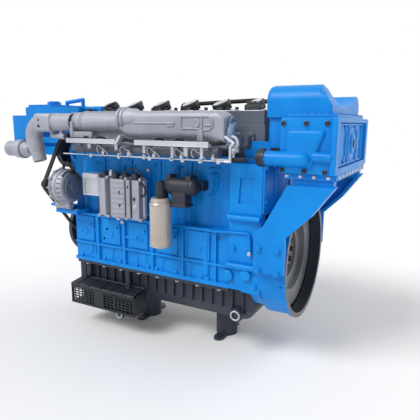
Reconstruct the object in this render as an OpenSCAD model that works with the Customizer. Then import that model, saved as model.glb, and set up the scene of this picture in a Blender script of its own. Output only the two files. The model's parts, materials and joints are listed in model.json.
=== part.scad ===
// Marine diesel engine, inline six, with a transverse charge air cooler over the flywheel housing.
// Frame: +X runs along the crank to the flywheel end, +Z is up, -Y is the service side.
// The origin is on the crank axis, on the rear face of the flywheel housing. Lengths are in mm.

/* [Cylinders and crank] */
// Distance between neighbouring cylinders
bore_pitch = 166; // [164:1:178]
// Cylinder bore
bore_d = 130; // [120:1:132]
// Piston stroke
stroke = 160; // [140:2:162]
// Connecting rod centre distance that the piston positions follow
rod_length = 268; // [262:1:276]
// Main journal diameter
main_d = 100; // [90:1:108]
// Crank pin diameter
pin_d = 84; // [70:1:90]

/* [Cylinder block] */
// Half width of the upper walls
upper_y = 200; // [196:1:206]
// Crank axis down to the oil pan joint
pan_joint = 122; // [118:1:130]
// Wall thickness of the casting
wall_t = 34; // [30:1:36]
// How far the ribs stand out of the walls
rib_out = 12; // [6:1:14]

/* [Cylinder head and rocker cover] */
// Half width of the head
head_y = 158; // [154:1:160]
// Height of the head
head_h = 118; // [110:1:124]
// Diameter of the black injector caps
cap_d = 84; // [70:1:92]

/* [Flywheel and housing] */
// Outer diameter of the housing's rear flange
flange_d = 552; // [550:1:556]
// Pilot bore of the housing
pilot_d = 511.18; // [510:0.02:512]
// Bolt circle of the housing flange
flange_pcd = 530.2; // [530:0.1:532]
// Depth of the housing along the crank
house_l = 118; // [114:1:130]
// Outer radius of the flywheel
flywheel_r = 238; // [236:1:240]
// Bolt circle of the coupling on the flywheel
coupling_pcd = 438.15; // [436:0.05:440]

/* [Oil pan and supports] */
// Crank axis down to the bottom of the oil pan
pan_bottom = 296; // [290:1:310]
// Crank axis down to the floor
floor_drop = 457; // [450:1:480]

/* [Charge air cooler] */
// Length of the cooler across the engine, end covers included
cooler_w = 626; // [616:2:640]
// How far the cooler reaches past the rear face
cool_x1 = 176; // [170:1:184]
// Top of the air duct above the cooler
duct_top = 722; // [716:1:730]

/* [Intake side] */
// Height of the intake manifold's axis
man_z = 578; // [574:1:582]
// Outer radius of the manifold's round tube
tube_r = 46; // [42:1:48]
// Distance from the crank plane to the manifold's outer face
face_out = 325; // [320:1:330]

/* [Front end] */
// Radius of the vibration damper
damper_r = 155; // [145:1:160]
// Radius of the crank pulley
crank_pr = 105; // [98:1:112]
// Radius of the water pump pulley
pump_pr = 84; // [76:1:88]
// Radius of the sea water pump pulley
sea_pr = 62; // [56:1:68]
// Radius of the alternator body
alt_r = 87; // [80:1:90]

/* [Service side units] */
// Diameter of the fuel filter canister
filter_d = 96; // [88:1:100]
// Height of the fuel filter canister
filter_h = 217; // [200:1:224]
// Width of the control unit's frame
ecu_w = 260; // [250:1:270]
// Length of the perforated guard
guard_w = 405; // [400:5:415]

/* [Far side units] */
// Diameter of the oil filter canisters
oil_d = 108; // [96:1:112]

/* [Hidden] */
$fn = 48;

// Paint and metal colours
blue = "#0A84DC";
silver = "#AAACB6";
pale = "#CDD0D8";
iron = "#5F626E";
steel = "#8A8C90";
black = "#262A38";
beige = "#B2A89E";

// Secondary sizes
web_t = 26;
weight_r = 126;
pin_len = 60;
ledge_z = 130;
rib_w = 12;
cap_h = 46;
flange_n = 12;
flange_hole_d = 10.2;
coupling_n = 8;
gear_m = 3.5;
n_idler = 44;
pan_flange_t = 16;
post_d = 106;
end_t = 16;
brk_t = 16;
tube_wall = 5;
rail_r = 21;
belt_t = 8;
elbow_bend = 75;
cover_h = 72;
skirt_y = 238;
sep_d = 58;
ecu_h = 205;
guard_h = 104;
scroll_r = 62;
st_d = 88;
deck_z = 440;
case_len = 42;
case_y = 250;
n_crank = 32;
cool_z0 = 397;
cool_z1 = 602;
belt_w = 22;
elbow_r = 41.5;
alt_pulley_r = 34;

// Clearances and cut overrun
running = 0.06;
gap = 0.3;
over = 1;
joint_swell = 0.3;
share_half = 0.5;

// Bolts used all over the engine
bolt_d = 10;
bolt_af = 17;
bolt_head = 8;
bolt_len = 14;

// Cylinder positions, counted from the flywheel end
cyls = 6;
rear_main = 30;
front_main = 40;
rear_x = -house_l - case_len;
last_cyl_x = rear_x - rear_main - web_t - pin_len / 2;
front_x = last_cyl_x - (cyls - 1) * bore_pitch - pin_len / 2 - web_t - front_main;
function cyl_x(i) = last_cyl_x - i * bore_pitch;
function wall_x(i) = cyl_x(i) - bore_pitch / 2;
web_play = 4;
wall_len = bore_pitch - pin_len - 2 * (web_t + web_play);
throws = [0, 120, 240, 240, 120, 0];

// Pistons and liners
liner_wall = 7;
liner_t = 8;
liner_out = 4;
liner_foot = 152;
piston_play = 0.1;
crown_above_pin = 90;
skirt_below_pin = 44;
crown_t = 24;
piston_wall = 10;
gudgeon_d = 46;
ring_groove = 3;
ring_count = 3;
function pin_z(a) = stroke / 2 * cos(a) + sqrt(pow(rod_length, 2) - pow(stroke / 2 * sin(a), 2));

// Block
skirt_in = 24;
skirt_front = front_x + skirt_in;
skirt_rear = -262;
rail_h = 18;
mid_rib_z = -30;
mid_rib_h = 10;
panel_half = 54;
panel_low = -12;
panel_high = 112;
panel_out = 7;
bulge_r = 70;
bulge_out = 14;
column_r = 13;
column_out = 4;
boss_r = 14;
boss_out = 10;
boss_hole_r = 6;
boss_z = 76;
boss_low_z = 34;
boss_face = 222;
slot_w = 9;
slot_depth = 6;
slot_low = 300;
slot_high = 408;
slot_shift = 26;
cavity_top = 108;
bearing_top = 150;
jacket_in = 100;
jacket_floor = 170;
jacket_roof = 420;
cap_half = 95;
cap_drop = 72;
st_z = -60;
st_bay_x = -560;
st_bay = 45;

// Gears and camshaft
n_cam = 2 * n_crank;
gear_w = 25;
gear_depth = 35;
gear_x = rear_x + gear_depth;
tooth_add_share = 0.85;
tooth_ded_share = 1.15;
tooth_root_share = 0.30;
tooth_tip_share = 0.125;
gear0_r = gear_m * n_crank / 2;
gear1_r = gear_m * n_idler / 2;
gear2_r = gear_m * n_cam / 2;
idler_z = gear0_r + gear1_r;
cam_y = -118;
cam_z = idler_z + sqrt(pow(gear1_r + gear2_r, 2) - pow(cam_y, 2));
cam_angle = atan2(cam_z - idler_z, cam_y);
cam_tunnel_r = 31;
lobe_r = 19;
lobe_lift = 7;
lobe_w = 22;
lobe_shift = 34;
idler_pin_r = 22;
pocket_play = 7;
hub_hole_r = 8;

// Gear case outline and its service side flank
case_far = 208;
case_top = 419;
case_low = -186;
case_cut = 60;
flank_y = 262;
flank_bottom = -120;
panel_pts = [[-214, 363], [-150, 363], [-166, 256], [-222, 256]];
panel_cut = 8;
flank_bar_r = 13;
flank_zs = [198, -10];
wing_z = 507;
wing_y = [-178, -161];
wing_x = -230;
flank_step = [-200, 476];
case_back_t = 5;
case_back = -house_l + case_back_t;

// Flywheel housing
flange_t = 14;
pilot_step = 3.59;
bell_wall = 16;
pad_out = 18;
inner_wall_r = pilot_d / 2 - pilot_step;
body_r = inner_wall_r + bell_wall;
st_wall_t = 12;
hub_hole = 82;
pilot_len = 42;
inner_rib_in = 246;
inner_ribs = 16;
inner_rib_w = 9;
pad_z = [-16, 107];
pad_y = body_r + pad_out;
st_bulge_r = 46;
st_pocket_r = 34;
st_pocket = 56;

// Flywheel
wheel_x = -104;
wheel_rear = -52;
step_r = 159;
step_x = -80;
hub_r = 112;
hub_x = -96;
spigot_r = 40;
crank_bolts = 10;
crank_bolt_d = 15;
coupling_hole_d = 10.8;
ring_in = 226;
ring_facets = 240;
ring_m = 4;
n_ring = 120;
ring_w = 20;
ring_r = ring_m * n_ring / 2;
n_pinion = 11;
st_y = sqrt(pow(ring_r + ring_m * n_pinion / 2, 2) - pow(st_z, 2));
crank_fr = 78;
crank_ft = 12;

// Front cover, damper, pulleys
cover_t = 20;
front_half = 172;
front_low = -118;
front_top = 424;
nose_r = 34;
belt_x = -1264;
belt_play = 1;
track_rear = belt_x + belt_w + 2 * belt_play;
pulley_rim = 3;
damper_t = 22;
damp_x = -1290;
damp_hub_r = 60;
damper_groove = 6;
pump_y = -150;
pump_z = 430;
sea_y = 170;
sea_z = 165;
alt_y = -300;
alt_z = 267;
lobe_out_r = 66;
pulley_web_t = 8;
pulley_hole_r = 12;
shaft_r = 13;
nose_bolt_t = 12;

// Alternator
alt_x0 = -1234;
alt_x1 = -1095;
alt_cap_r = 61;
alt_cap_t = 12;
alt_slots = 18;
alt_slot_w = 9;
alt_slot_l = 34;
alt_shell_l = 46;
alt_band = 2;
alt_shell_x = [alt_x0, alt_x1 - alt_cap_t - alt_shell_l];
alt_nose = 54;
foot_r = 14;
foot_z = alt_z - alt_r - foot_r - over;
foot_pin_r = 7;
arm_end_x = -1062;
box_x = [-1033, -932];
box_z = [232, 338];
box_y = [-296, -222];
box_lip = 8;

// Oil pan
pan_in = 8;
pan_front = skirt_front + pan_in;
pan_rear = -166;
pan_y1 = 190;
pan_y0 = 150;
pan_wall = 8;
pan_shoulder = 236;
pan_rib_w = 8;
pan_rib_out = 12;
pan_rib_pitch = 52;
pan_ribs = 18;
pan_corner = 76;
pan_slim = 196;
plug_r = 15;
plug_ring = 4;
plug_x = -262;
plug_z = -262;
pan_bolt_pitch = 110;
pan_bolts_side = 8;
post_rear_x = -385;
post_front_x = -850;
post_foot_t = 12;
post_foot_half = 92;
post_ear_r = 24;

// Head, rocker cover and caps
head_in = 12;
head_front = front_x + head_in;
head_rear = -150;
port_w = 60;
port_h = 40;
port_z = 478;
port_reach = 44;
valve_port_r = 23;
injector_bore_r = 15;
cover_in = 8;
cover_wall = 8;
cover_lip = 14;
cap_tilt = [20, -14, 0];
cap_seat = 10;
cap_rim = 6;
cap_y = -10;
stack_x = [-258, -186];
stack_y = [-132, -76];
stack_h = 34;
lift_eye_t = 12;
handle_y = -100;
handle_mid = 22;
handle_pts = [[-1054, 0], [-958, 0], [-978, 50], [-1046, 26]];

// Intake manifold
box_front = -760;
box_back = -287;
box_end = -256;
box_low = 514;
box_rear_low = 500;
box_high = 627;
box_in = 215;
box_corner = 40;
tube_front = -1066;
duct_r = 38;
tube_y = -279;
collar_x = -765;
collar_z = 597;
collar_r = 50;
collar_t = 34;
line_w = 8;
frame_out = 5;
frame_x = [-442, -352];
frame_z = [552, 606];
dee_x = -322;
dee_r = 34;
leg_x = [-349, -331];
long_rib_x = [-690, -480];
long_rib_z = 573;
runner_len = 86;
runner_h = 54;
end_cap_r = 36;
end_cap_t = 12;
end_cap_y = -258;
end_cap_z = 570;
stub_r = 17;
stub_low = 500;
stub_y = -300;

// Front elbow
elbow_x = -1270;
elbow_y = -300;
elbow_turn = 107;
leg_bottom = 383;
cast_x = [-1298, -1186];
cast_z = [530, 620];
cast_hole_r = 7;
cast_hole_x = -1256;
cast_hole_z = [588, 559];
elbow_foot_x = [-1190, -1120];
elbow_foot_z = 508;

// Tray, rail and leak-off lines
tray_y = [-382, -342];
tray_z = [492, 505];
tray_left = [-1118, -815];
tray_right = [-678, -314];
tray_kick = 28;
tray_post_w = 14;
posts_l = [-1095, -960, -832];
posts_r = [-655, -506, -420, -342];
tray_foot_z = 438;
rail_x = [-1067, -285];
rail_y = -300;
rail_z = 461;
rail_clip_w = 22;
leak_r = 3;
leak_z = tray_foot_z - 2 * leak_r - gap;
leak_y = -334;
leak_clip_r = 9;
leak_shift = 56;
drain_x = [-246, -222, -208];
drain_z = [488, 503, 527];

// Control unit
ecu_x = -940;
ecu_z = 130;
ecu_y = [-300, -262];
bar_r = 8;
ecu_body = [0.34, 0.78];
ecu_side = [0.09, 0.24];
ecu_slot = 0.27;
ecu_slot_share = 0.05;
plug_w = 34;
plug_h = 46;

// Fuel filter, its head and the breather
filter_x = -553;
filter_y = -330;
filter_neck_in = 7;
filter_neck_h = 12;
filter_low = 45;
neck_r = 20;
neck_top = 330;
sep_x = [-528, -385];
sep_z = 315;
sep_y = -300;
sep_ear_w = 26;
sep_ear_h = 18;
sep_stem_x = [-500, -430];
sep_stem_z = 238;

// Lower guard
guard_x = -1140;
guard_y0 = -302;
guard_top = -238;
guard_back_top = -226;
guard_y1 = -207;
guard_strap_x = [[-1128, -1112], [-832, -816]];
guard_strap_y = [-240, -232];
guard_wall = 5;
guard_slots_x = 22;
guard_slots_z = 5;
guard_slot_w = 11;
guard_slot_h = 9;
guard_ribs = 6;
guard_rib_w = 4;
guard_rib_out = 3;
guard_plate_w = 62;
guard_plate_x = -985;
guard_plug_r = 14;

// Expansion tank and its frame
tank_x0 = -1690;
tank_shelf = -1578;
tank_back = -1182;
tank_x1 = -1500;
tank_y = 150;
tank_low = 420;
tank_mid = 614;
tank_top = 658;
tank_base = 600;
tank_w = 5;
lid_x = [-1569, -1390];
lid_t = 14;
neck_x = -1450;
neck_y = -60;
neck_h = 10;
neck_out_r = 30;
filler_r = 32;
filler_h = 10;
outlet_end = -1062;
outlet_y = -100;
outlet_z = 648;
outlet_pr = 12;
hook_x = [-1310, -1196];
hook_h = 24;
arm_y = [112, 132];
arm_end = -1300;
arm_high = [[tank_x1, 497], [arm_end, 497], [arm_end, 466], [tank_x1, 466]];
arm_low = [[tank_x1, 446], [arm_end, 446], [arm_end, 392], [tank_x1, 404]];
arm_plate_l = 30;
arm_far = [[arm_end, 497], [arm_end + arm_plate_l, 497], [front_x - cover_t, 420], [front_x - cover_t, 380],
      [arm_end, 392]];
hx_y = -202;
hx_z = 432;
hx_r = 42;
hx_x = [-1660, -1540];
hx_ring_t = 14;
hx_ring_out = 9;
dome_len = 70;

// Cooler
cool_x0 = -24;
cool_half = cooler_w / 2;
cover_depth = 48;
core_y = cool_half - cover_depth;
core_w = 14;
rim_y = 268;
rim_z0 = 419;
rim_z1 = 584;
deep = 16;
panel_rib = 10;
hub2_r = 26;
hub_y = 6;
hub_z = 502;
cover_x = [-35, 172];
inset = 22;
pipe_r = 27.5;
pipe_z = 451;
pipe_x = -104;
pipe_y = -core_y - end_t - pipe_r;
stub_pipe_r = 20;
duct_front = -112;
duct_back = 140;
duct_slant_x = 88;
lobe_cr = 62;
near_y = -196;
far_y = 190;
far_drop = 24;
valley_y = 10;
valley_z = 645;
duct_lip = 12;
column_low = 486;
column_wide_r = 44;
cooler_base_z = 375;

// Cooler brackets
brk_pts = [[-128, -11], [0, -5], [0, 146], [92, 238], [176, 352], [0, 352], [-91, 184], [-128, 160]];
brk_recess = 14;
brk_shelf = 60;
brk_lip_in = 42;
brk_lip_t = 12;
brk_x = [-106, -29];
brk_z = [91, 0];

// Hoses and clamps
hose_r = 10;
hose_lead = 20;
hose_y = 72;
top_pts = [[-690, hose_y, deck_z + head_h + cover_h], [-690, hose_y, 669], [-292, hose_y, 684],
          [-184, hose_y, 672], [duct_front - hose_lead, hose_y, 622], [duct_front, hose_y, 622]];
charge_r = 30;
far_z = duct_top - far_drop - lobe_cr;
charge_pts = [[-380, 395, 560], [-300, 395, 560], [-170, far_y, far_z], [duct_front, far_y, far_z]];
clamp_t = 5;
clamp_w = 16;

// Exhaust and turbocharger
exhaust_y = 214;
exhaust_z = 500;
exhaust_r = 36;
exhaust_wall = 5;
turbo_x = -600;
turbo_y = 364;
turbo_z = 510;
turbo_half = 70;
center_len = 80;
center_r = 36;
wheel_r = 40;
blades = 10;
blade_t = 3;
rotor_shaft_r = 9;
outlet_r = 44;
outlet_len = 60;

// Starter
st_len = 300;
st_nose_r = 40;
st_flange_t = 14;
solenoid_r = 26;
solenoid_l = 150;
pinion_w = 18;
sleeve_r = 13;
pinion_stroke = 22;
pinion_rest = 10;

// Oil filters and sea water pump
oil_h = 210;
oil_x = [-980, -830];
oil_y = 308;
oil_z = 90;
oil_head_h = 44;
sea_body_r = 60;
sea_body_l = 52;
sea_port_r = 18;
sea_port_l = 70;

// Dipstick
stick_x = -744;
stick_y = 262;
stick_r = 3;
stick_top = 190;
stick_lean = 0.3;
stick_tube_r = 7;
stick_tube_top = 186;
stick_tube_low = 60;
stick_bottom = -240;
stick_handle_r = 13;
function stick_at(z) = [stick_x, stick_y - stick_lean * (stick_top - z), z];

// Bosses on the service side of the block: x, z and radius of each
near_bosses = concat([for (x = concat(posts_l, posts_r)) [x, tray_foot_z - rib_out, rib_out]],
  [for (x = [ecu_x + 3 * bar_r, ecu_x + ecu_w - 3 * bar_r],
     z = [ecu_z + 3 * bar_r, ecu_z + ecu_h - 3 * bar_r]) [x, z, rib_out]],
  [for (x = [box_x[0] + 2 * rib_out, box_x[1] - 2 * rib_out], z = box_z)
    [x, (z + box_z[0] + box_z[1]) / 3, rib_out]],
  [for (x = [filter_x, sep_x[0] + sep_ear_w, sep_x[1] - sep_ear_w]) [x, sep_z, boss_r]],
  [for (x = [front_x + 2 * boss_r, arm_end_x - boss_r]) [x, foot_z - 1.7 * foot_r, 0.7 * foot_r]]);

function about(c, half) = [c - half, c + half];

module at(x, y, z) { translate([x, y, z]) children(); }

// Box between two corners, each axis given as [low, high]
module span(x, y, z) {
  translate([x[0], y[0], z[0]])
    cube([x[1] - x[0], y[1] - y[0], z[1] - z[0]]);
}

// Round bars along each axis, the running axis given as [low, high]
module bar_x(x, y, z, r) {
  translate([x[0], y, z]) rotate([0, 90, 0]) cylinder(h = x[1] - x[0], r = r);
}

module bar_y(x, y, z, r) {
  translate([x, y[0], z]) rotate([-90, 0, 0]) cylinder(h = y[1] - y[0], r = r);
}

module bar_z(x, y, z, r) {
  translate([x, y, z[0]]) cylinder(h = z[1] - z[0], r = r);
}

// Round rod from one point to another, and a path of them with ball joints
module rod(a, b, r) {
  d = b - a;
  translate(a) rotate([0, acos(d[2] / norm(d)), atan2(d[1], d[0])]) cylinder(h = norm(d), r = r);
}

module pipe(points, r) {
  for (i = [0 : len(points) - 2])
    rod(points[i], points[i + 1], r);
  for (i = [1 : len(points) - 2])
    translate(points[i]) sphere(r = r + joint_swell);
}

// Plates cut from an outline: side plates lie in XZ, cross plates in YZ
module plate_y(y) {
  translate([0, y[1], 0]) rotate([90, 0, 0]) linear_extrude(y[1] - y[0]) children();
}

module plate_x(x) {
  translate([x[0], 0, 0]) rotate([90, 0, 90]) linear_extrude(x[1] - x[0]) children();
}

// Rectangle with round corners between two corners
module round_rect(a, b, r) {
  translate([a[0] + r, b[0]]) square([a[1] - a[0] - 2 * r, b[1] - b[0]]);
  translate([a[0], b[0] + r]) square([a[1] - a[0], b[1] - b[0] - 2 * r]);
  for (u = [a[0] + r, a[1] - r], v = [b[0] + r, b[1] - r])
    translate([u, v]) circle(r = r);
}

// Hexagon bolt, head up, under the head at the origin
module hex_bolt(af = bolt_af, head = bolt_head, d = bolt_d, length = bolt_len) {
  cylinder(h = head, d = af / cos(30), $fn = 6);
  at(0, 0, -length) cylinder(h = length + head / 2, d = d);
}

// Hole that such a bolt's shank fits
module bolt_hole(d = bolt_d, length = bolt_len) {
  at(0, 0, -length - over) cylinder(h = length + 2 * over, d = d + 2 * gap);
}

// Children set head outwards on a face that looks along -Y, +Y, -Z or +X
module face_near(x, y, z) { at(x, y, z) rotate([90, 0, 0]) children(); }
module face_far(x, y, z) { at(x, y, z) rotate([-90, 0, 0]) children(); }
module face_down(x, y, z) { at(x, y, z) rotate([180, 0, 0]) children(); }

// Gear outline in YZ with straight-flanked teeth; the phase angle points at a tooth
module gear_outline(m, teeth, phase) {
  pitch_r = m * teeth / 2;
  root_r = pitch_r - m * tooth_ded_share;
  tip_r = pitch_r + m * tooth_add_share;
  pitch_a = 360 / teeth;
  polygon([for (i = [0 : teeth - 1], k = [[root_r, -tooth_root_share], [tip_r, -tooth_tip_share],
                      [tip_r, tooth_tip_share], [root_r, tooth_root_share]])
    let (a = phase + (i + k[1]) * pitch_a) k[0] * [cos(a), sin(a)]]);
}

// Phase of the second gear of a pair whose line of centres points at the given angle
function mesh_phase(line, phase, teeth_a, teeth_b) =
  line + 180 - (share_half - (line - phase) * teeth_a / 360) * 360 / teeth_b;

idler_phase = mesh_phase(90, 90, n_crank, n_idler);
cam_phase = mesh_phase(cam_angle, idler_phase, n_idler, n_cam);

// Cylinder block with its skirt, ribs, cylinder bulges and bearing walls
module block_side() {
  // skirt wall, bottom rail, middle rib and top ledge
  for (b = [[0, -pan_joint, ledge_z], [rib_out, -pan_joint, rail_h - pan_joint],
       [rib_out, mid_rib_z, mid_rib_z + mid_rib_h], [rib_out, ledge_z - rib_out, ledge_z]])
    span([skirt_front, skirt_rear], [-skirt_y - b[0], 0], [b[1], b[2]]);
  for (i = [0 : cyls - 2])
    span(about(wall_x(i), rib_w / 2), [-skirt_y - rib_out, 0],
       [-pan_joint, ledge_z]);
  for (i = [1 : cyls - 1]) {
    span(about(cyl_x(i), panel_half), [-skirt_y - panel_out, 0],
       [panel_low, panel_high]);
    for (z = [boss_z, boss_low_z])
      bar_y(cyl_x(i) + z - boss_low_z, [-skirt_y - boss_out, 0], z, boss_r);
  }
  // water jacket bulges beside each cylinder, with bolt columns between them
  for (i = [0 : cyls - 1])
    bar_z(cyl_x(i), -upper_y + bulge_r - bulge_out, [0, deck_z], bulge_r);
  for (i = [0 : cyls - 2])
    bar_z(wall_x(i), -upper_y + column_r - column_out, [0, deck_z], column_r);
}

module block_cavities() {
  bay = (bore_pitch - wall_len) / 2;
  inner = skirt_y - wall_t;
  for (x = [for (i = [0 : cyls - 1]) cyl_x(i)]) {
    bar_z(x, 0, [cavity_top, deck_z + over], bore_d / 2 + liner_wall + gap);
    bar_z(x, 0, [deck_z - liner_t, deck_z + over], bore_d / 2 + liner_wall + liner_out + gap);
    span(about(x, bay), [-inner, inner], [-pan_joint - over, cavity_top]);
    span(about(x, bay), [-weight_r - wall_t / 2, weight_r + wall_t / 2], [0, bearing_top]);
  }
  span([front_x + front_main, rear_x - rear_main], [-inner, inner], [-pan_joint - over, 0]);
  // slot that the bearing caps close, and the water jacket on the far side
  span([front_x - over, rear_x + over], [-cap_half - gap, cap_half + gap], [-pan_joint - over, 0]);
  span([front_x + front_main, rear_x - rear_main], [jacket_in, upper_y - wall_t / 2],
     [jacket_floor, jacket_roof]);
  bar_x([front_x - over, rear_x + over], 0, 0, main_d / 2 + running);
  bar_x([front_x + front_main / 2, rear_x + over], cam_y, cam_z, cam_tunnel_r);
}

module cylinder_block() {
  color(blue) difference() {
    union() {
      span([front_x, rear_x], [-upper_y, upper_y], [-pan_joint, deck_z]);
      block_side();
      mirror([0, 1, 0]) block_side();
      // bosses that the service side units are bolted to
      for (b = near_bosses)
        bar_y(b[0], [-boss_face, 0], b[1], b[2]);
      rod(stick_at(stick_tube_top), stick_at(stick_tube_low), stick_tube_r);
    }
    block_cavities();
    rod(stick_at(stick_top), stick_at(stick_bottom), stick_r + gap);
    // tapped boss holes and bolt slots on both walls
    for (s = [-1, 1], i = [1 : cyls - 1])
      bar_y(cyl_x(i) + boss_z - boss_low_z, s * (skirt_y + boss_out + over) > 0 ?
         [skirt_y, skirt_y + boss_out + over] : [-skirt_y - boss_out - over, -skirt_y],
         boss_z, boss_hole_r);
    for (s = [-1, 1], i = [1 : cyls - 2])
      at(wall_x(i) + slot_shift, s * upper_y, (slot_low + slot_high) / 2)
        cube([slot_w, 2 * slot_depth, slot_high - slot_low], center = true);
    // bay for the starter, and the seat of the gear case's flank
    span([st_bay_x, skirt_rear + over], [st_y - st_bay, st_y],
       about(st_z, st_bay));
    span([skirt_rear, rear_x + over], [-2 * upper_y, -upper_y], [-pan_joint - over, deck_z + over]);
  }
}

// Wet liners with a top flange
module cylinder_liners() {
  color(steel) for (i = [0 : cyls - 1])
    difference() {
      union() {
        bar_z(cyl_x(i), 0, [liner_foot, deck_z], bore_d / 2 + liner_wall);
        bar_z(cyl_x(i), 0, [deck_z - liner_t, deck_z], bore_d / 2 + liner_wall + liner_out);
      }
      bar_z(cyl_x(i), 0, [liner_foot - over, deck_z + over], bore_d / 2);
    }
}

// Caps that close the main bearings from below
module bearing_cap(x0, x1) {
  difference() {
    span([x0, x1], [-cap_half, cap_half], [-cap_drop, 0]);
    bar_x([x0 - over, x1 + over], 0, 0, main_d / 2 + running);
  }
}

module main_bearing_caps() {
  color(iron) {
    for (i = [0 : cyls - 2])
      bearing_cap(wall_x(i) - wall_len / 2, wall_x(i) + wall_len / 2);
    bearing_cap(rear_x - rear_main + web_play, rear_x);
    bearing_cap(front_x, front_x + front_main - web_play);
  }
}

// Crankshaft with six throws, counterweights, timing gear and rear flange
module crank_web(x0, a) {
  plate_x([x0, x0 + web_t]) union() {
    rotate(a) translate([0, stroke / 2]) circle(r = pin_d / 2 + web_t / 2);
    rotate(a) translate([-pin_d / 2, -weight_r / 3]) square([pin_d, stroke / 2 + weight_r / 3]);
    rotate(a) intersection() {
      circle(r = weight_r);
      translate([-weight_r, -weight_r]) square([2 * weight_r, weight_r * 2 / 3]);
    }
    circle(r = main_d / 2 + web_play);
  }
}

module crankshaft() {
  color(steel) difference() {
    union() {
      bar_x([damp_x + 2 * pulley_rim, front_x + over], 0, 0, nose_r);
      bar_x([front_x, front_x + front_main], 0, 0, main_d / 2);
      for (i = [0 : cyls - 1]) {
        crank_web(cyl_x(i) - pin_len / 2 - web_t, throws[i]);
        crank_web(cyl_x(i) + pin_len / 2, throws[i]);
        bar_x(about(cyl_x(i), pin_len / 2),
           -stroke / 2 * sin(throws[i]), stroke / 2 * cos(throws[i]), pin_d / 2);
      }
      for (i = [0 : cyls - 2])
        bar_x([wall_x(i) - wall_len / 2 - web_play, wall_x(i) + wall_len / 2 + web_play], 0, 0, main_d / 2);
      bar_x([rear_x - rear_main, gear_x], 0, 0, main_d / 2);
      plate_x([gear_x - gear_w, gear_x]) gear_outline(gear_m, n_crank, 90);
      bar_x([gear_x, wheel_x], 0, 0, main_d / 2);
      bar_x([wheel_x - crank_ft, wheel_x], 0, 0, crank_fr);
    }
    bar_x([wheel_x - crank_ft - over, wheel_x + over], 0, 0, spigot_r / 2);
  }
}

// Gear that carries the drive from the crank to the camshaft
module idler_gear() {
  color(steel) difference() {
    at(0, 0, idler_z) plate_x([gear_x - gear_w, gear_x])
      gear_outline(gear_m, n_idler, idler_phase);
    bar_x([gear_x - gear_w - over, gear_x + over], 0, idler_z, idler_pin_r + running);
    for (a = [0 : 60 : 300])
      bar_x([gear_x - gear_w - over, gear_x + over], gear1_r * 0.65 * cos(a),
         idler_z + gear1_r * 0.65 * sin(a), hub_hole_r);
  }
}

// Camshaft with two lobes a cylinder and its gear
module cam_lobe(x0, a) {
  at(0, cam_y, cam_z) plate_x([x0, x0 + lobe_w]) rotate(a) union() {
    circle(r = lobe_r);
    translate([lobe_lift + lobe_r / 2, 0]) circle(r = lobe_r / 2);
    translate([0, -lobe_r / 2]) square([lobe_lift + lobe_r / 2, lobe_r]);
  }
}

module camshaft() {
  color(steel) difference() {
    union() {
      bar_x([front_x + front_main, gear_x], cam_y, cam_z, lobe_r * 0.8);
      for (i = [0 : cyls - 2])
        bar_x(about(wall_x(i), wall_len / 2), cam_y, cam_z, cam_tunnel_r - running);
      bar_x([rear_x - rear_main, rear_x - over], cam_y, cam_z, cam_tunnel_r - running);
      for (i = [0 : cyls - 1], k = [0, 1])
        cam_lobe(cyl_x(i) + (k == 0 ? -lobe_shift - lobe_w / 2 : lobe_shift - lobe_w / 2),
             throws[i] / 2 + k * 100);
      at(0, cam_y, cam_z) plate_x([gear_x - gear_w, gear_x])
        gear_outline(gear_m, n_cam, cam_phase);
    }
    for (a = [0 : 60 : 300])
      bar_x([gear_x - gear_w - over, gear_x + over], cam_y + gear2_r * 0.6 * cos(a),
         cam_z + gear2_r * 0.6 * sin(a), 2 * hub_hole_r);
  }
}

// One piston with its ring grooves, hollow below the crown, and its gudgeon pin
module piston(x, z) {
  r = bore_d / 2 - piston_play;
  color(silver) difference() {
    bar_z(x, 0, [z - skirt_below_pin, z + crown_above_pin], r);
    bar_z(x, 0, [z - skirt_below_pin - over, z + crown_above_pin - crown_t], r - piston_wall);
    for (k = [1 : ring_count])
      at(x, 0, z + crown_above_pin - 3 * k * ring_groove) difference() {
        cylinder(h = ring_groove, r = r + over);
        at(0, 0, -over) cylinder(h = ring_groove + 2 * over, r = r - ring_groove);
      }
    bar_x(about(x, bore_d), 0, z, gudgeon_d / 2 + running);
  }
  color(steel) bar_x([x - r + piston_wall / 2, x + r - piston_wall / 2], 0, z, gudgeon_d / 2);
}

module piston_pair(i) {
  piston(cyl_x(i), pin_z(throws[i]));
  piston(cyl_x(cyls - 1 - i), pin_z(throws[i]));
}

module outer_pistons() { piston_pair(0); }
module middle_pistons() { piston_pair(1); }
module inner_pistons() { piston_pair(2); }

// Gear case behind the block: it holds the gears and has a wide service side flank
module housing_body(x) {
  bar_x(x, 0, 0, body_r);
  for (s = [-1, 1])
    span(x, s < 0 ? [-pad_y, -body_r / 2] : [body_r / 2, pad_y], pad_z);
}

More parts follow.
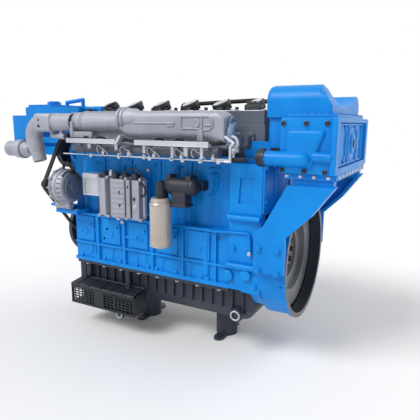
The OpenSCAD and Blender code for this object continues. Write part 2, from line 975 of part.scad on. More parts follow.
module gear_case() {
  flank_x = [skirt_rear + gap, rear_x + over];
  color(blue) difference() {
    union() {
      plate_x([rear_x, -house_l]) polygon([
        [-case_y, case_low + case_cut], [-case_y, case_top], [wing_y[0], case_top],
        [wing_y[0], wing_z], [wing_y[1], wing_z], [wing_y[1], deck_z - gap],
        [head_y, deck_z - gap], [case_far, case_top], [case_far, case_low + case_cut],
        [case_far - case_cut, case_low], [case_cut - case_y, case_low]]);
      span(flank_x, [-case_y, -upper_y - gap], [flank_bottom, case_top]);
      span([wing_x, rear_x + over], wing_y, [deck_z + gap, flank_step[1]]);
      span([flank_step[0], rear_x + over], wing_y, [deck_z + gap, wing_z]);
      span([flank_step[0], rear_x + over], [-case_y, -pan_slim - pan_rib_out],
         [case_low + case_cut, flank_bottom + over]);
      for (z = flank_zs) {
        bar_x([flank_x[0], -house_l], -flank_y, z, flank_bar_r);
        span([flank_x[0], -house_l], [-flank_y, -upper_y - gap], [z - flank_bar_r, z + flank_bar_r / 3]);
      }
      // the flange that carries the housing
      housing_body([-house_l, case_back]);
      bar_x([-house_l, case_back], st_y, st_z, st_bulge_r);
    }
    // gear pockets, open to the block
    difference() {
      for (p = [[0, 0, gear0_r], [0, idler_z, gear1_r], [cam_y, cam_z, gear2_r]])
        bar_x([rear_x - over, -house_l], p[0], p[1], p[2] + gear_m + pocket_play);
      bar_x([gear_x - gear_w, -house_l + over], 0, idler_z, idler_pin_r);
    }
    bar_x([-house_l - over, case_back + over], 0, 0, hub_hole);
    bar_x([-house_l - over, case_back + over], st_y, st_z, st_pocket_r);
    plate_y([-case_y - over, panel_cut - case_y]) polygon(panel_pts);
  }
}

// Flywheel housing with its standard rear flange
module flywheel_housing() {
  color(blue) difference() {
    union() {
      housing_body([case_back, -flange_t]);
      bar_x([-flange_t, 0], 0, 0, flange_d / 2);
      bar_x([case_back, -house_l + st_pocket + st_wall_t], st_y, st_z, st_bulge_r);
    }
    difference() {
      union() {
        bar_x([-pilot_len, over], 0, 0, pilot_d / 2);
        bar_x([case_back - over, over], 0, 0, inner_wall_r);
      }
      // stiffening ribs deep inside, behind the ring gear
      for (k = [0 : inner_ribs - 1])
        rotate([k * 360 / inner_ribs, 0, 0])
          span([-house_l, -pilot_len], [-inner_rib_w / 2, inner_rib_w / 2],
             [inner_rib_in, pilot_d / 2 + over]);
    }
    bar_x([case_back - over, -house_l + st_pocket], st_y, st_z, st_pocket_r);
    for (k = [0 : flange_n - 1])
      rotate([(k + share_half) * 360 / flange_n, 0, 0])
        bar_x([-2 * flange_t, over], 0, flange_pcd / 2, flange_hole_d / 2);
    for (x = brk_x, z = brk_z) {
      face_near(x, -pad_y, z) bolt_hole(length = 2 * bolt_len);
      face_far(x, pad_y, z) bolt_hole(length = 2 * bolt_len);
    }
  }
}

// Flywheel, stepped towards its hub, with the coupling's bolt circle
module flywheel() {
  color(steel) difference() {
    union() {
      bar_x([wheel_x, wheel_rear], 0, 0, ring_in);
      bar_x([wheel_x + ring_w + gap, wheel_rear], 0, 0, flywheel_r);
    }
    bar_x([step_x, over], 0, 0, step_r);
    bar_x([hub_x, over], 0, 0, hub_r);
    bar_x([wheel_x - over, over], 0, 0, spigot_r);
    for (k = [0 : crank_bolts - 1])
      rotate([k * 360 / crank_bolts, 0, 0])
        bar_x([wheel_x - over, 0], 0, (hub_r + spigot_r) / 2, crank_bolt_d / 2);
    for (k = [0 : coupling_n - 1])
      rotate([(k + share_half) * 360 / coupling_n, 0, 0])
        bar_x([step_x, 0], 0, coupling_pcd / 2, coupling_hole_d / 2);
  }
}

// Starter ring gear shrunk on the flywheel's front step
st_line = atan2(st_z, st_y);
module ring_gear() {
  color(iron) difference() {
    plate_x([wheel_x, wheel_x + ring_w]) gear_outline(ring_m, n_ring, st_line);
    bar_x([wheel_x - over, wheel_x + ring_w + over], 0, 0, ring_in + running, $fn = ring_facets);
  }
}

// Front cover with the pump lobes
module front_cover() {
  color(blue) difference() {
    union() {
      plate_x([front_x - cover_t, front_x]) union() {
        round_rect([-front_half, front_half], [front_low, front_top], lobe_out_r / 2);
        translate([pump_y, pump_z]) circle(r = lobe_out_r);
        translate([sea_y, sea_z]) circle(r = lobe_out_r);
      }
      bar_x([front_x - cover_t - rib_out, front_x], 0, 0, nose_r + cover_t);
    }
    bar_x([front_x - 3 * cover_t, front_x + over], 0, 0, nose_r + gap);
  }
}

// Pulley with a flat belt track between two rims, along -X from its rear face
module pulley(r, y, z) {
  difference() {
    union() {
      bar_x([belt_x, track_rear], y, z, r);
      for (x = [belt_x - pulley_rim, track_rear])
        bar_x([x, x + pulley_rim], y, z, r + pulley_rim);
    }
    difference() {
      bar_x([belt_x + pulley_web_t, track_rear + pulley_rim], y, z, r - pulley_web_t);
      bar_x([belt_x, track_rear + pulley_rim], y, z, 2 * shaft_r);
    }
  }
}

// Vibration damper and crank pulley on the crank's nose
module crank_damper() {
  color(black) difference() {
    union() {
      difference() {
        bar_x([damp_x, damp_x + damper_t], 0, 0, damper_r);
        difference() {
          bar_x([damp_x - over, damp_x + damper_groove], 0, 0, damper_r * 0.8);
          bar_x([damp_x - over, damp_x + damper_groove], 0, 0, damp_hub_r);
        }
      }
      pulley(crank_pr, 0, 0);
      bar_x([damp_x + damper_t - over, belt_x + belt_w + cover_t], 0, 0, damp_hub_r);
    }
    bar_x([damp_x + pulley_rim, front_x], 0, 0, nose_r + running);
    for (a = [0 : 60 : 300])
      bar_x([damp_x - over, damp_x + damper_t + over], damper_r * 0.6 * cos(a),
         damper_r * 0.6 * sin(a), pulley_hole_r);
  }
}

// Water pump on the front cover, with its outlet to the block
module water_pump() {
  color(blue) difference() {
    union() {
      bar_x([belt_x + belt_w + 2 * cover_t, front_x - cover_t], pump_y, pump_z, lobe_out_r - rib_out);
      bar_x([belt_x + belt_w + cover_t / 2, front_x - cover_t], pump_y, pump_z, 2.4 * shaft_r);
      bar_z(front_x - 2.1 * cover_t, pump_y - rib_out, [pump_z - 2 * lobe_out_r, pump_z], shaft_r * 1.4);
    }
    bar_x([belt_x - over, front_x - 2 * cover_t], pump_y, pump_z, shaft_r + running);
  }
}

module water_pump_pulley() {
  color(black) {
    pulley(pump_pr, pump_y, pump_z);
    bar_x([belt_x - pulley_rim - nose_bolt_t, belt_x + over], pump_y, pump_z, shaft_r * 1.6);
    bar_x([belt_x, front_x - 2 * cover_t - gap], pump_y, pump_z, shaft_r);
  }
}

// Raw water pump on the far side of the front cover
module sea_water_pump() {
  color("#9A7B3C") difference() {
    union() {
      bar_x([front_x - cover_t - sea_body_l + belt_w, front_x - cover_t], sea_y, sea_z, sea_body_r);
      for (s = [-1, 1])
        bar_y(front_x - cover_t - sea_port_r,
           [sea_y, sea_y + sea_port_l + sea_body_r / 2], sea_z + s * sea_port_r * 1.3, sea_port_r);
    }
    bar_x([belt_x - over, front_x - cover_t * 1.5], sea_y, sea_z, shaft_r + running);
    for (s = [-1, 1])
      bar_y(front_x - cover_t - sea_port_r,
         [sea_y + sea_body_r / 2, sea_y + sea_port_l + sea_body_r / 2 + over],
         sea_z + s * sea_port_r * 1.3, sea_port_r - tube_wall);
  }
}

module sea_pump_pulley() {
  color(black) {
    pulley(sea_pr, sea_y, sea_z);
    bar_x([belt_x, front_x - cover_t * 1.5 - gap], sea_y, sea_z, shaft_r);
  }
}

// Belt loop round the four pulleys
module belt_wrap(extra) {
  hull() {
    translate([0, 0]) circle(r = crank_pr + extra);
    translate([pump_y, pump_z]) circle(r = pump_pr + extra);
    translate([sea_y, sea_z]) circle(r = sea_pr + extra);
    translate([alt_y, alt_z]) circle(r = alt_pulley_r + extra);
  }
}

module drive_belt() {
  color("#1A1B1E") plate_x([belt_x + belt_play, belt_x + belt_play + belt_w]) difference() {
    belt_wrap(gap + belt_t);
    belt_wrap(gap);
  }
}

// Alternator: two slotted shells with the stator between them, rear cap and two foot lugs
module alternator() {
  color(silver) difference() {
    union() {
      for (x = alt_shell_x)
        bar_x([x, x + alt_shell_l], alt_y, alt_z, alt_r - alt_band);
      bar_x([alt_x0 + alt_shell_l, alt_shell_x[1]], alt_y, alt_z, alt_r);
      bar_x([alt_x1 - alt_cap_t, alt_x1], alt_y, alt_z,
         (alt_r + alt_cap_r) / 2);
      bar_x([alt_x1, alt_x1 + alt_cap_t], alt_y, alt_z, alt_cap_r);
      for (x = [alt_x0, alt_x1 - 3 * foot_r])
        bar_x([x, x + 2 * foot_r], alt_y, foot_z, foot_r);
      for (x = [alt_x0, alt_x1 - 3 * foot_r])
        span([x, x + 2 * foot_r], about(alt_y, foot_r - gap), [foot_z, alt_z - shaft_r - foot_r]);
    }
    // cooling slots round both ends
    for (k = [0 : alt_slots - 1], x = alt_shell_x)
      if (k != alt_slots / 2)
        at(x + (alt_shell_l - alt_slot_l) / 2, alt_y, alt_z) rotate([k * 360 / alt_slots, 0, 0])
          at(0, -alt_slot_w / 2, alt_r - alt_slot_w)
            cube([alt_slot_l, alt_slot_w, 2 * alt_slot_w]);
    bar_x([alt_x0 - over, alt_x0 + alt_r], alt_y, alt_z, shaft_r + running);
    bar_x([alt_x0 - over, alt_x1 + over], alt_y, foot_z, foot_pin_r + gap);
  }
}

module alternator_pulley() {
  color(black) {
    pulley(alt_pulley_r, alt_y, alt_z);
    bar_x([belt_x - alt_nose + belt_w, belt_x + over], alt_y, alt_z, 1.6 * shaft_r);
    bar_x([belt_x, alt_x0 + alt_r - gap], alt_y, alt_z, shaft_r);
  }
}

// Bracket casting under the alternator and its hinge bolt
module alternator_bracket() {
  lug = [alt_x0 + 2 * foot_r + gap, alt_x1 - 3 * foot_r - gap];
  color(blue) difference() {
    union() {
      bar_x(lug, alt_y, foot_z, foot_r);
      span(lug, [alt_y, -boss_face], [foot_z - 2 * foot_r, foot_z]);
      span([lug[0], arm_end_x], [alt_y - foot_r, -boss_face],
         [foot_z - 2.4 * foot_r, foot_z - foot_r]);
    }
    bar_x([alt_x0, alt_x1], alt_y, foot_z, foot_pin_r + gap);
  }
  color(steel) bar_x([alt_x0 - foot_r, alt_x1 - foot_r / 2], alt_y, foot_z, foot_pin_r);
}

// Intake manifold: round front tube, cast box with raised frames, runners to the head
module intake_manifold() {
  face = -face_out - frame_out;
  dee_z = (frame_z[0] + frame_z[1]) / 2;
  color(silver) difference() {
    union() {
      bar_x([tube_front, box_front + over], tube_y, man_z, tube_r);
      plate_x([box_front, box_back]) round_rect([-face_out, -box_in], [box_low, box_high], box_corner);
      // the rear end drops to a flat plate and slopes at its top
      plate_y([-face_out, -box_in]) polygon([[leg_x[0], box_rear_low], [box_end, box_rear_low],
        [box_end, box_high - box_corner / 2], [box_back, box_high], [leg_x[0], box_high - box_corner]]);
      for (i = [0 : cyls - 1])
        span(about(cyl_x(i), runner_len / 2), [tube_y, -head_y],
           [port_z, port_z + runner_h]);
      span([tube_front, box_back], [tube_y, -box_in], [port_z + tube_wall, man_z]);
      // ring flange round the joint of tube and box, with a cylinder inside it
      bar_x(about(collar_x, collar_t / 2), tube_y - rib_out, collar_z, collar_r);
      // raised lines and frames on the outer face
      span(long_rib_x, [face, tube_y], [long_rib_z, long_rib_z + line_w]);
      span(frame_x, [face, tube_y], frame_z);
      bar_y(dee_x, [face, tube_y], dee_z, dee_r);
      span(leg_x, [face - frame_out, tube_y], [box_rear_low, frame_z[0] + line_w]);
      bar_z(frame_x[1], -face_out + boss_r, [box_rear_low - boss_r, box_low + over], boss_r);
    }
    difference() {
      union() {
        bar_x([collar_x - collar_t, collar_x + collar_t / 2 + over], tube_y - rib_out,
           collar_z, collar_r - tube_wall);
        span([frame_x[0] + line_w, frame_x[1] - line_w], [face - over, -face_out],
           [frame_z[0] + line_w, frame_z[1] - line_w]);
        bar_y(dee_x, [face - over, -face_out], dee_z, dee_r - line_w);
      }
      bar_x([tube_front, box_back], tube_y, man_z, tube_r - over);
      span([collar_x + collar_t / 2, box_back], [-face_out, -box_in], [box_low, box_high]);
      span(leg_x, [face - frame_out, tube_y], [box_rear_low, frame_z[0] + line_w]);
    }
    bar_x([tube_front - over, box_end - tube_wall], tube_y, man_z, duct_r);
    for (i = [0 : cyls - 1])
      span(about(cyl_x(i), port_w / 2), [tube_y + tube_wall, over - head_y],
         [port_z + tube_wall, port_z + port_h + tube_wall]);
  }
}

// Round end cover and water stub behind the manifold
module manifold_end_cap() {
  color("#6E8CA8") {
    bar_x([box_end, box_end + end_cap_t], end_cap_y, end_cap_z, end_cap_r);
    bar_x([box_end, box_end + 2 * end_cap_t], end_cap_y, end_cap_z, end_cap_r / 2);
    bar_z(box_end + stub_r, stub_y, [stub_low, end_cap_z], stub_r);
  }
}

// Front elbow: square cast neck, quarter bend and a straight leg that ends open
module elbow_solid(r) {
  turn = elbow_turn;
  bar_x([elbow_x, tube_front], elbow_y, man_z, r);
  at(elbow_x, elbow_y, man_z - elbow_bend) rotate([90, 0, 0]) rotate([0, 0, 90])
    rotate_extrude(angle = turn) translate([elbow_bend, 0]) circle(r = r);
  at(elbow_x - elbow_bend * sin(turn), elbow_y, man_z - elbow_bend + elbow_bend * cos(turn))
    rotate([0, 270 - turn, 0])
      cylinder(h = (man_z - elbow_bend + elbow_bend * cos(turn) - leg_bottom) / sin(turn), r = r);
}

module front_elbow() {
  color(silver) difference() {
    union() {
      elbow_solid(elbow_r);
      plate_x(cast_x) round_rect([elbow_y - elbow_r - frame_out, elbow_y + elbow_r + frame_out],
                      cast_z, box_corner / 2);
      // foot that carries the cast neck on the front cover's side
      span(elbow_foot_x, about(elbow_y, boss_r), [elbow_foot_z, man_z]);
      bar_x([tube_front - 2 * line_w, tube_front], elbow_y + (tube_y - elbow_y) / 2, man_z,
         tube_r - over);
    }
    elbow_solid(elbow_r - tube_wall);
    for (z = cast_hole_z)
      bar_y(cast_hole_x, [elbow_y - 2 * elbow_r, elbow_y - elbow_r + over], z, cast_hole_r);
  }
}

// Wiring tray: two channels on posts that stand on the fuel rail's clips
module tray_run(x) {
  difference() {
    span(x, tray_y, tray_z);
    span([x[0] - over, x[1] + over], [tray_y[0] + leak_r, tray_y[1] - leak_r],
       [tray_z[0] + leak_r, tray_z[1] + over]);
  }
}

module wiring_tray() {
  color(pale) {
    union() {
      tray_run(tray_left);
      // kicked up end
      plate_y(tray_y) polygon([[tray_left[1], tray_z[0]], [tray_left[1] + tray_kick, tray_z[1] + tray_kick],
        [tray_left[1] + tray_kick, tray_z[1] + tray_kick + leak_r], [tray_left[1], tray_z[0] + 2 * leak_r]]);
      for (x = posts_l)
        tray_post(x);
    }
    union() {
      tray_run(tray_right);
      for (x = posts_r)
        tray_post(x);
    }
  }
}

module tray_post(x) {
  w = about(x, tray_post_w / 2);
  span(w, [tray_y[1] - leak_r, tray_y[1]], [tray_foot_z - leak_r, tray_z[1]]);
  span(w, [tray_y[1] - leak_r, -boss_face], [tray_foot_z - leak_r, tray_foot_z - over]);
}

// Fuel rail tube with its clips
module fuel_rail() {
  color(iron) {
    bar_x(rail_x, rail_y, rail_z, rail_r);
    for (i = [1 : cyls - 1])
      span(about(cyl_x(i), rail_clip_w / 2),
         [rail_y, -head_y], about(rail_z, rail_clip_w / 4));
  }
}

// Thin leak-off pipe along the rail, with a clip at each cylinder
module leak_off_pipes() {
  color(pale) union() {
    bar_x([rail_x[0] - 3 * boss_r, rail_x[1] + 2 * rail_clip_w], leak_y, leak_z, leak_r);
    for (i = [0 : cyls - 2])
      bar_y(wall_x(i) + leak_shift, about(leak_y, leak_r / 2), leak_z - leak_r, leak_clip_r);
    // curved drain behind the manifold's end
    pipe([[drain_x[0], leak_y, leak_z], [drain_x[1], leak_y, leak_z], [drain_x[1], leak_y, drain_z[0]],
          [drain_x[2], leak_y, drain_z[1]], [drain_x[0], leak_y, drain_z[2]]], 2 * leak_r);
  }
}

// Control unit, the frame that carries it and its plugs
module control_unit() {
  z = [ecu_z + 2 * bar_r, ecu_z + ecu_h - 2 * bar_r];
  color(silver) {
    span([ecu_x + ecu_w * ecu_body[0], ecu_x + ecu_w * ecu_body[1]], ecu_y, z);
    span([ecu_x + ecu_w * ecu_side[0], ecu_x + ecu_w * ecu_side[1]], ecu_y, z);
  }
}

module control_unit_frame() {
  x = [ecu_x, ecu_x + ecu_w];
  z = [ecu_z, ecu_z + ecu_h];
  color(pale) union() {
    plate_y([ecu_y[1], ecu_y[1] + bar_r]) difference() {
      round_rect(x, z, 3 * bar_r);
      translate([x[0] + ecu_w * ecu_slot, z[0] + 3 * bar_r])
        square([ecu_w * ecu_slot_share, ecu_h - 6 * bar_r]);
    }
    for (v = z)
      bar_x([x[0] + 2 * bar_r, x[1] - 2 * bar_r], ecu_y[1] - bar_r / 2, v + (v == z[0] ? bar_r : -bar_r),
         bar_r);
    for (u = [x[0] + bar_r, x[1] - bar_r])
      bar_z(u, ecu_y[1] - bar_r / 2, [z[0] + 2 * bar_r, z[1] - 2 * bar_r], bar_r);
    for (u = [x[0] + 3 * bar_r, x[1] - 3 * bar_r], v = [z[0] + 3 * bar_r, z[1] - 3 * bar_r])
      bar_y(u, [ecu_y[1], -boss_face], v, bar_r);
    // terminal box beside the alternator
    span(box_x, [box_y[0] + box_lip, box_y[1]], box_z);
    difference() {
      span(box_x, box_y, box_z);
      span([box_x[0] + box_lip, box_x[1] - box_lip], [box_y[0] - over, box_y[0] + box_lip + over],
         [box_z[0] + box_lip, box_z[1] - 3 * box_lip]);
    }
  }
}

module control_unit_plugs() {
  color(black) for (k = [0.02, 0.3])
    span([ecu_x + ecu_w * 0.84, ecu_x + ecu_w * 0.84 + plug_w / 2],
       ecu_y,
       [ecu_z + 2 * bar_r + ecu_h * k, ecu_z + 2 * bar_r + ecu_h * k + plug_h]);
}

// Filter head with the neck of the fuel filter
module filter_head() {
  color(black) union() {
    bar_z(filter_x, filter_y, [filter_low + filter_h + gap, neck_top], neck_r);
    span(about(filter_x, neck_r), [filter_y, -boss_face],
       [neck_top - 2 * neck_r, neck_top]);
    bar_z(filter_x, filter_y, [neck_top, neck_top + bolt_head], neck_r / 2);
  }
}

module fuel_filter() {
  color(beige) at(filter_x, filter_y, filter_low) rotate_extrude() polygon([
    [0, 0], [filter_d / 2 - filter_neck_in, 0], [filter_d / 2, filter_neck_in],
    [filter_d / 2, filter_h - 2 * filter_neck_h],
    [filter_d / 2 - filter_neck_in, filter_h - filter_neck_h],
    [filter_d / 2 - filter_neck_in, filter_h], [0, filter_h]]);
}

// Breather separator: a lying canister on a stem
module breather_separator() {
  color(black) union() {
    bar_x(sep_x, sep_y, sep_z, sep_d / 2);
    bar_x([sep_x[0] + rib_w, sep_x[0] + 2 * rib_w], sep_y, sep_z, sep_d / 2 + leak_r);
    bar_x([sep_x[1] - 2 * rib_w, sep_x[1] - rib_w], sep_y, sep_z, sep_d / 2 + leak_r);
    for (x = [sep_x[0] + sep_ear_w / 2, sep_x[1] - 1.5 * sep_ear_w])
      span([x, x + sep_ear_w], [sep_y - sep_ear_h / 2, -boss_face],
         [sep_z, sep_z + sep_d / 2 + sep_ear_h]);
    span(sep_stem_x, about(sep_y, sep_d / 3), [sep_stem_z, sep_z]);
    bar_x([filter_x + neck_r, sep_x[0] + over], sep_y, sep_z, neck_r * 0.7);
  }
}

// Ribbed oil pan, its plug ring and its bolts
module pan_outline(inset) {
  polygon([[-pan_y1 + inset, -pan_joint - inset], [-pan_y1 + inset, -pan_shoulder],
       [-pan_y0 + inset, -pan_bottom + inset], [pan_y0 - inset, -pan_bottom + inset],
       [pan_y1 - inset, -pan_shoulder], [pan_y1 - inset, -pan_joint - inset]]);
}

module oil_pan() {
  flange_z = [-pan_joint - pan_flange_t, -pan_joint];
  color(black) difference() {
    union() {
      span([pan_front, skirt_rear - gap], [-skirt_y - rib_out / 2, skirt_y + rib_out / 2], flange_z);
      span([pan_front, pan_rear], [-pan_slim, pan_slim], flange_z);
      intersection() {
        union() {
          plate_x([pan_front, pan_rear]) pan_outline(0);
          for (s = [-1, 1], k = [0 : pan_ribs - 1])
            span([pan_rear - (k + 1) * pan_rib_pitch, pan_rear - (k + 1) * pan_rib_pitch + pan_rib_w],
               s < 0 ? [-pan_y1 - pan_rib_out, 0] : [0, pan_y1 + pan_rib_out],
               [-pan_shoulder, -pan_joint]);
        }
        // round lower rear corner
        plate_y([-skirt_y, skirt_y]) union() {
          translate([pan_front, -pan_bottom]) square([pan_rear - pan_corner - pan_front, pan_bottom]);
          translate([pan_front, pan_corner - pan_bottom])
            square([pan_rear - pan_front, pan_bottom - pan_corner]);
          translate([pan_rear - pan_corner, pan_corner - pan_bottom]) circle(r = pan_corner);
        }
      }
      bar_y(plug_x, [-pan_y1, -pan_y0], plug_z, plug_r + plug_ring);
    }
    intersection() {
      plate_x([pan_front + pan_wall, pan_rear - pan_wall]) pan_outline(pan_wall);
      span([pan_front, pan_rear - pan_corner / 2], [-skirt_y, skirt_y], [-pan_bottom, 0]);
    }
    span([pan_front + pan_wall, pan_rear - pan_wall],
       [-pan_y1 + pan_wall, pan_y1 - pan_wall], [pan_corner - pan_bottom, over - pan_joint]);
    for (s = [-1, 1], k = [0 : pan_bolts_side - 1])
      face_down(pan_bolt_x(k), s * pan_bolt_y, -pan_joint - pan_flange_t) bolt_hole(length = pan_flange_t);
  }
}

function pan_bolt_x(k) = skirt_rear - pan_bolt_pitch / 2 - k * pan_bolt_pitch;
pan_bolt_y = skirt_y - bolt_af / 2 - gap;

module pan_bolts() {
  color(steel) for (s = [-1, 1], k = [0 : pan_bolts_side - 1])
    face_down(pan_bolt_x(k), s * pan_bolt_y, -pan_joint - pan_flange_t)
      hex_bolt(length = pan_flange_t - over);
}

// Posts under the pan, each with two bolted ears at the foot
module support_posts() {
  color(black) for (x = [post_rear_x, post_front_x])
    difference() {
      union() {
        bar_z(x, 0, [-floor_drop, -pan_bottom], post_d / 2);
        span(about(x, post_ear_r), [-post_foot_half, post_foot_half],
           [-floor_drop, post_foot_t - floor_drop]);
        for (s = [-1, 1])
          bar_z(x, s * post_foot_half, [-floor_drop, post_foot_t - floor_drop], post_ear_r);
      }
      for (s = [-1, 1])
        bar_z(x, s * post_foot_half, [-floor_drop - over, post_foot_t - floor_drop + over],
           bolt_d / 2 + over);
    }
}

// Cylinder head with ports on both sides and injector bores
module cylinder_head() {
  color(iron) difference() {
    span([head_front, head_rear], [-head_y, head_y], [deck_z, deck_z + head_h]);
    for (i = [0 : cyls - 1]) {
      bar_z(cyl_x(i), 0, [deck_z - over, deck_z + head_h + over], injector_bore_r);
      for (s = [-1, 1]) {
        span(about(cyl_x(i), port_w / 2),
           s < 0 ? [-head_y - over, -port_reach] : [port_reach, head_y + over],
           [port_z + tube_wall, port_z + tube_wall + port_h]);
        bar_z(cyl_x(i), s * port_reach, [deck_z - over, port_z + port_h / 2], valve_port_r);
      }
    }
    // lightening pockets between the cyls on both faces
    for (i = [0 : cyls - 2], s = [-1, 1])
      at(wall_x(i), s * head_y, deck_z + head_h * 0.6)
        cube([bore_pitch * 0.3, 2 * rib_out, head_h * 0.5], center = true);
  }
}

// Rocker cover: a shell with a lip, a raised rim and a black connector block
module rocker_cover() {
  base = deck_z + head_h;
  color(iron) difference() {
    union() {
      span([head_front, head_rear], [-head_y, head_y], [base, base + cover_lip]);
      span([head_front + cover_in, head_rear - cover_in], [-head_y + cover_in, head_y - cover_in],
         [base, base + cover_h]);
    }
    span([head_front + cover_in + cover_wall, head_rear - cover_in - cover_wall],
       [-head_y + cover_in + cover_wall, head_y - cover_in - cover_wall],
       [base - over, base + cover_h - cover_wall]);
  }
}

// Black fittings on the rocker cover: a tilted cap above each injector, handle, sensor block
module cover_fittings() {
  top = deck_z + head_h + cover_h;
  color(black) {
    for (i = [0 : cyls - 1])
      intersection() {
        at(cyl_x(i), cap_y, top) rotate(cap_tilt) {
          at(0, 0, -cap_seat) cylinder(h = cap_h + cap_seat, d = cap_d);
          at(0, 0, cap_h * 0.6) cylinder(h = cap_rim, d = cap_d + cap_rim);
          at(0, 0, cap_h) cylinder(h = cap_rim, d = cap_d - 2 * cap_rim);
        }
        bar_z(cyl_x(i), cap_y, [top, top + 2 * cap_h], cap_d);
      }
    // lifting handle and the sensor block at the rear
    plate_y([handle_y, handle_y + lift_eye_t]) difference() {
      polygon([for (p = handle_pts) [p[0], top + p[1]]]);
      polygon([for (p = handle_pts) handle_middle(top) + 0.62 * ([p[0], top + p[1]] - handle_middle(top))]);
    }
    span(stack_x, stack_y, [top, top + stack_h]);
    span([stack_x[0] + rib_out, stack_x[1] - 2 * rib_out], stack_y,
       [top + stack_h - over, top + stack_h + rib_out / 2]);
  }
}

function handle_middle(top) =
  [(handle_pts[0][0] + handle_pts[1][0] + handle_pts[2][0]) / 3, top + handle_mid];

// Box of the charge air cooler: core housing with a recessed, ribbed rear panel
module charge_air_cooler() {
  color(blue) difference() {
    union() {
      span([cool_x0, cool_x1 - deep], [-core_y, core_y], [cool_z0, cool_z1]);
      span([cool_x1 - deep - over, cool_x1], [-cool_half, cool_half],
         [cool_z0, cool_z1]);
      span([cool_x0, cool_x1], [-core_y - end_t, core_y + end_t],
         [cooler_base_z, cool_z0 + over]);
      for (s = [-1, 1])
        span([cover_x[0], cool_x1 - deep],
           s < 0 ? [-core_y - end_t, -core_y] : [core_y, core_y + end_t],
           [cool_z0, cool_z1]);
    }
    // rear panel recess
    difference() {
      span([cool_x1 - deep, cool_x1 + over], [-rim_y, rim_y], [rim_z0, rim_z1]);
      for (s = [-1, 1])
        at(0, hub_y, hub_z) rotate([s * 17, 0, 0])
          span([cool_x1 - 2 * deep, cool_x1 - panel_rib / 2],
             [-cool_half, cool_half], [-panel_rib / 2, panel_rib / 2]);
      for (y = [-rim_y * 0.55, rim_y * 0.6])
        span([cool_x1 - 2 * deep, cool_x1 - panel_rib / 2], [y, y + panel_rib],
           [rim_z0, rim_z1]);
      bar_x([cool_x1 - 2 * deep, cool_x1 - panel_rib / 4], hub_y, hub_z, hub2_r);
    }
    bar_x([cool_x1 - deep, cool_x1 + over], hub_y, hub_z, hub2_r / 3);
    // air space and core openings at both ends
    span([cool_x0 + core_w, cool_x1 - deep - core_w], [-cool_half, cool_half],
       [cool_z0 + core_w, cool_z1 - core_w]);
    span([cool_x0 + core_w, duct_back - core_w], [-core_y / 2, core_y / 2],
       [cool_z1 - 2 * core_w, cool_z1 + over]);
  }
}

// End covers: flange, stepped bulge and the pipe stubs of the service side cover
module end_cover(s) {
  y0 = core_y + end_t;
  x0 = cover_x[0];
  x1 = cool_x1 - deep - over - gap;
  low = cool_z0 + inset;
  high = cool_z1 - 2 * inset;
  mirror([0, s > 0 ? 0 : 1, 0]) difference() {
    union() {
      span([x0, x1], [y0, y0 + end_t], [cool_z0, cool_z1 - over]);
      plate_y([y0, cool_half]) polygon([[x0 + inset, low], [x1 - 3 * inset, low],
        [x1 - 2.4 * inset, low + 3 * inset], [x1 - inset, high],
        [x0 + inset, high]]);
    }
    plate_y([y0 - over, cool_half - frame_out]) polygon([[x0 + 1.5 * inset, low + line_w],
      [x1 - 3.5 * inset, low + line_w], [x1 - 1.8 * inset, high - line_w],
      [x0 + 1.5 * inset, high - line_w]]);
    for (x = cov_x, z = cov_z)
      face_far(x, y0 + end_t, z) bolt_hole(length = end_t);
  }
}

cov_x = [cover_x[0] + inset / 2, (cover_x[0] + cover_x[1]) / 2, cover_x[1] - 1.2 * inset];
cov_z = [cool_z0 + inset / 2, cool_z1 - inset];

module cooler_covers() {
  color(blue) {
    end_cover(1);
    difference() {
      union() {
        end_cover(-1);
        bar_x([pipe_x, cover_x[1] - 3 * inset], pipe_y, pipe_z, pipe_r);
        bar_x([cover_x[1] - 3 * inset, cool_x1 - deep - over - gap], -core_y - end_t - stub_pipe_r,
           pipe_z + pipe_r / 2, stub_pipe_r);
      }
      bar_x([pipe_x - over, cover_x[1] - 4 * inset], pipe_y, pipe_z,
         pipe_r - tube_wall);
    }
  }
}

// Bolts of the end covers, the brackets and the cooler's base
module cooler_bolts() {
  y_flange = core_y + 2 * end_t;
  color("#0A6FC0") {
    for (x = cov_x, z = cov_z) {
      face_near(x, -y_flange, z) hex_bolt(length = end_t - over);
      face_far(x, y_flange, z) hex_bolt(length = end_t - over);
    }
    for (x = brk_x, z = brk_z) {
      face_near(x, -pad_y - brk_t, z) hex_bolt(length = 2 * bolt_len, af = 1.3 * bolt_af);
      face_far(x, pad_y + brk_t, z) hex_bolt(length = 2 * bolt_len, af = 1.3 * bolt_af);
    }
  }
}

// Air duct on the cooler: two round lobes across the engine and a valley between them
module duct_outline() {
  near = near_y - lobe_cr + duct_lip / 2;
  far = far_y + lobe_cr - duct_lip / 2;
  difference() {
    union() {
      translate([near_y, duct_top - lobe_cr]) circle(r = lobe_cr);
      translate([far_y, far_z]) circle(r = lobe_cr);
      polygon([[near, cool_z1], [near, duct_top - lobe_cr], [near_y + lobe_cr * 0.3, duct_top - duct_lip / 4],
        [valley_y, valley_z], [far_y - lobe_cr * 0.3, duct_top - far_drop - duct_lip / 4],
        [far, far_z], [far, cool_z1]]);
    }
    translate([-cool_half, 0]) square([cooler_w, cool_z1]);
  }
}

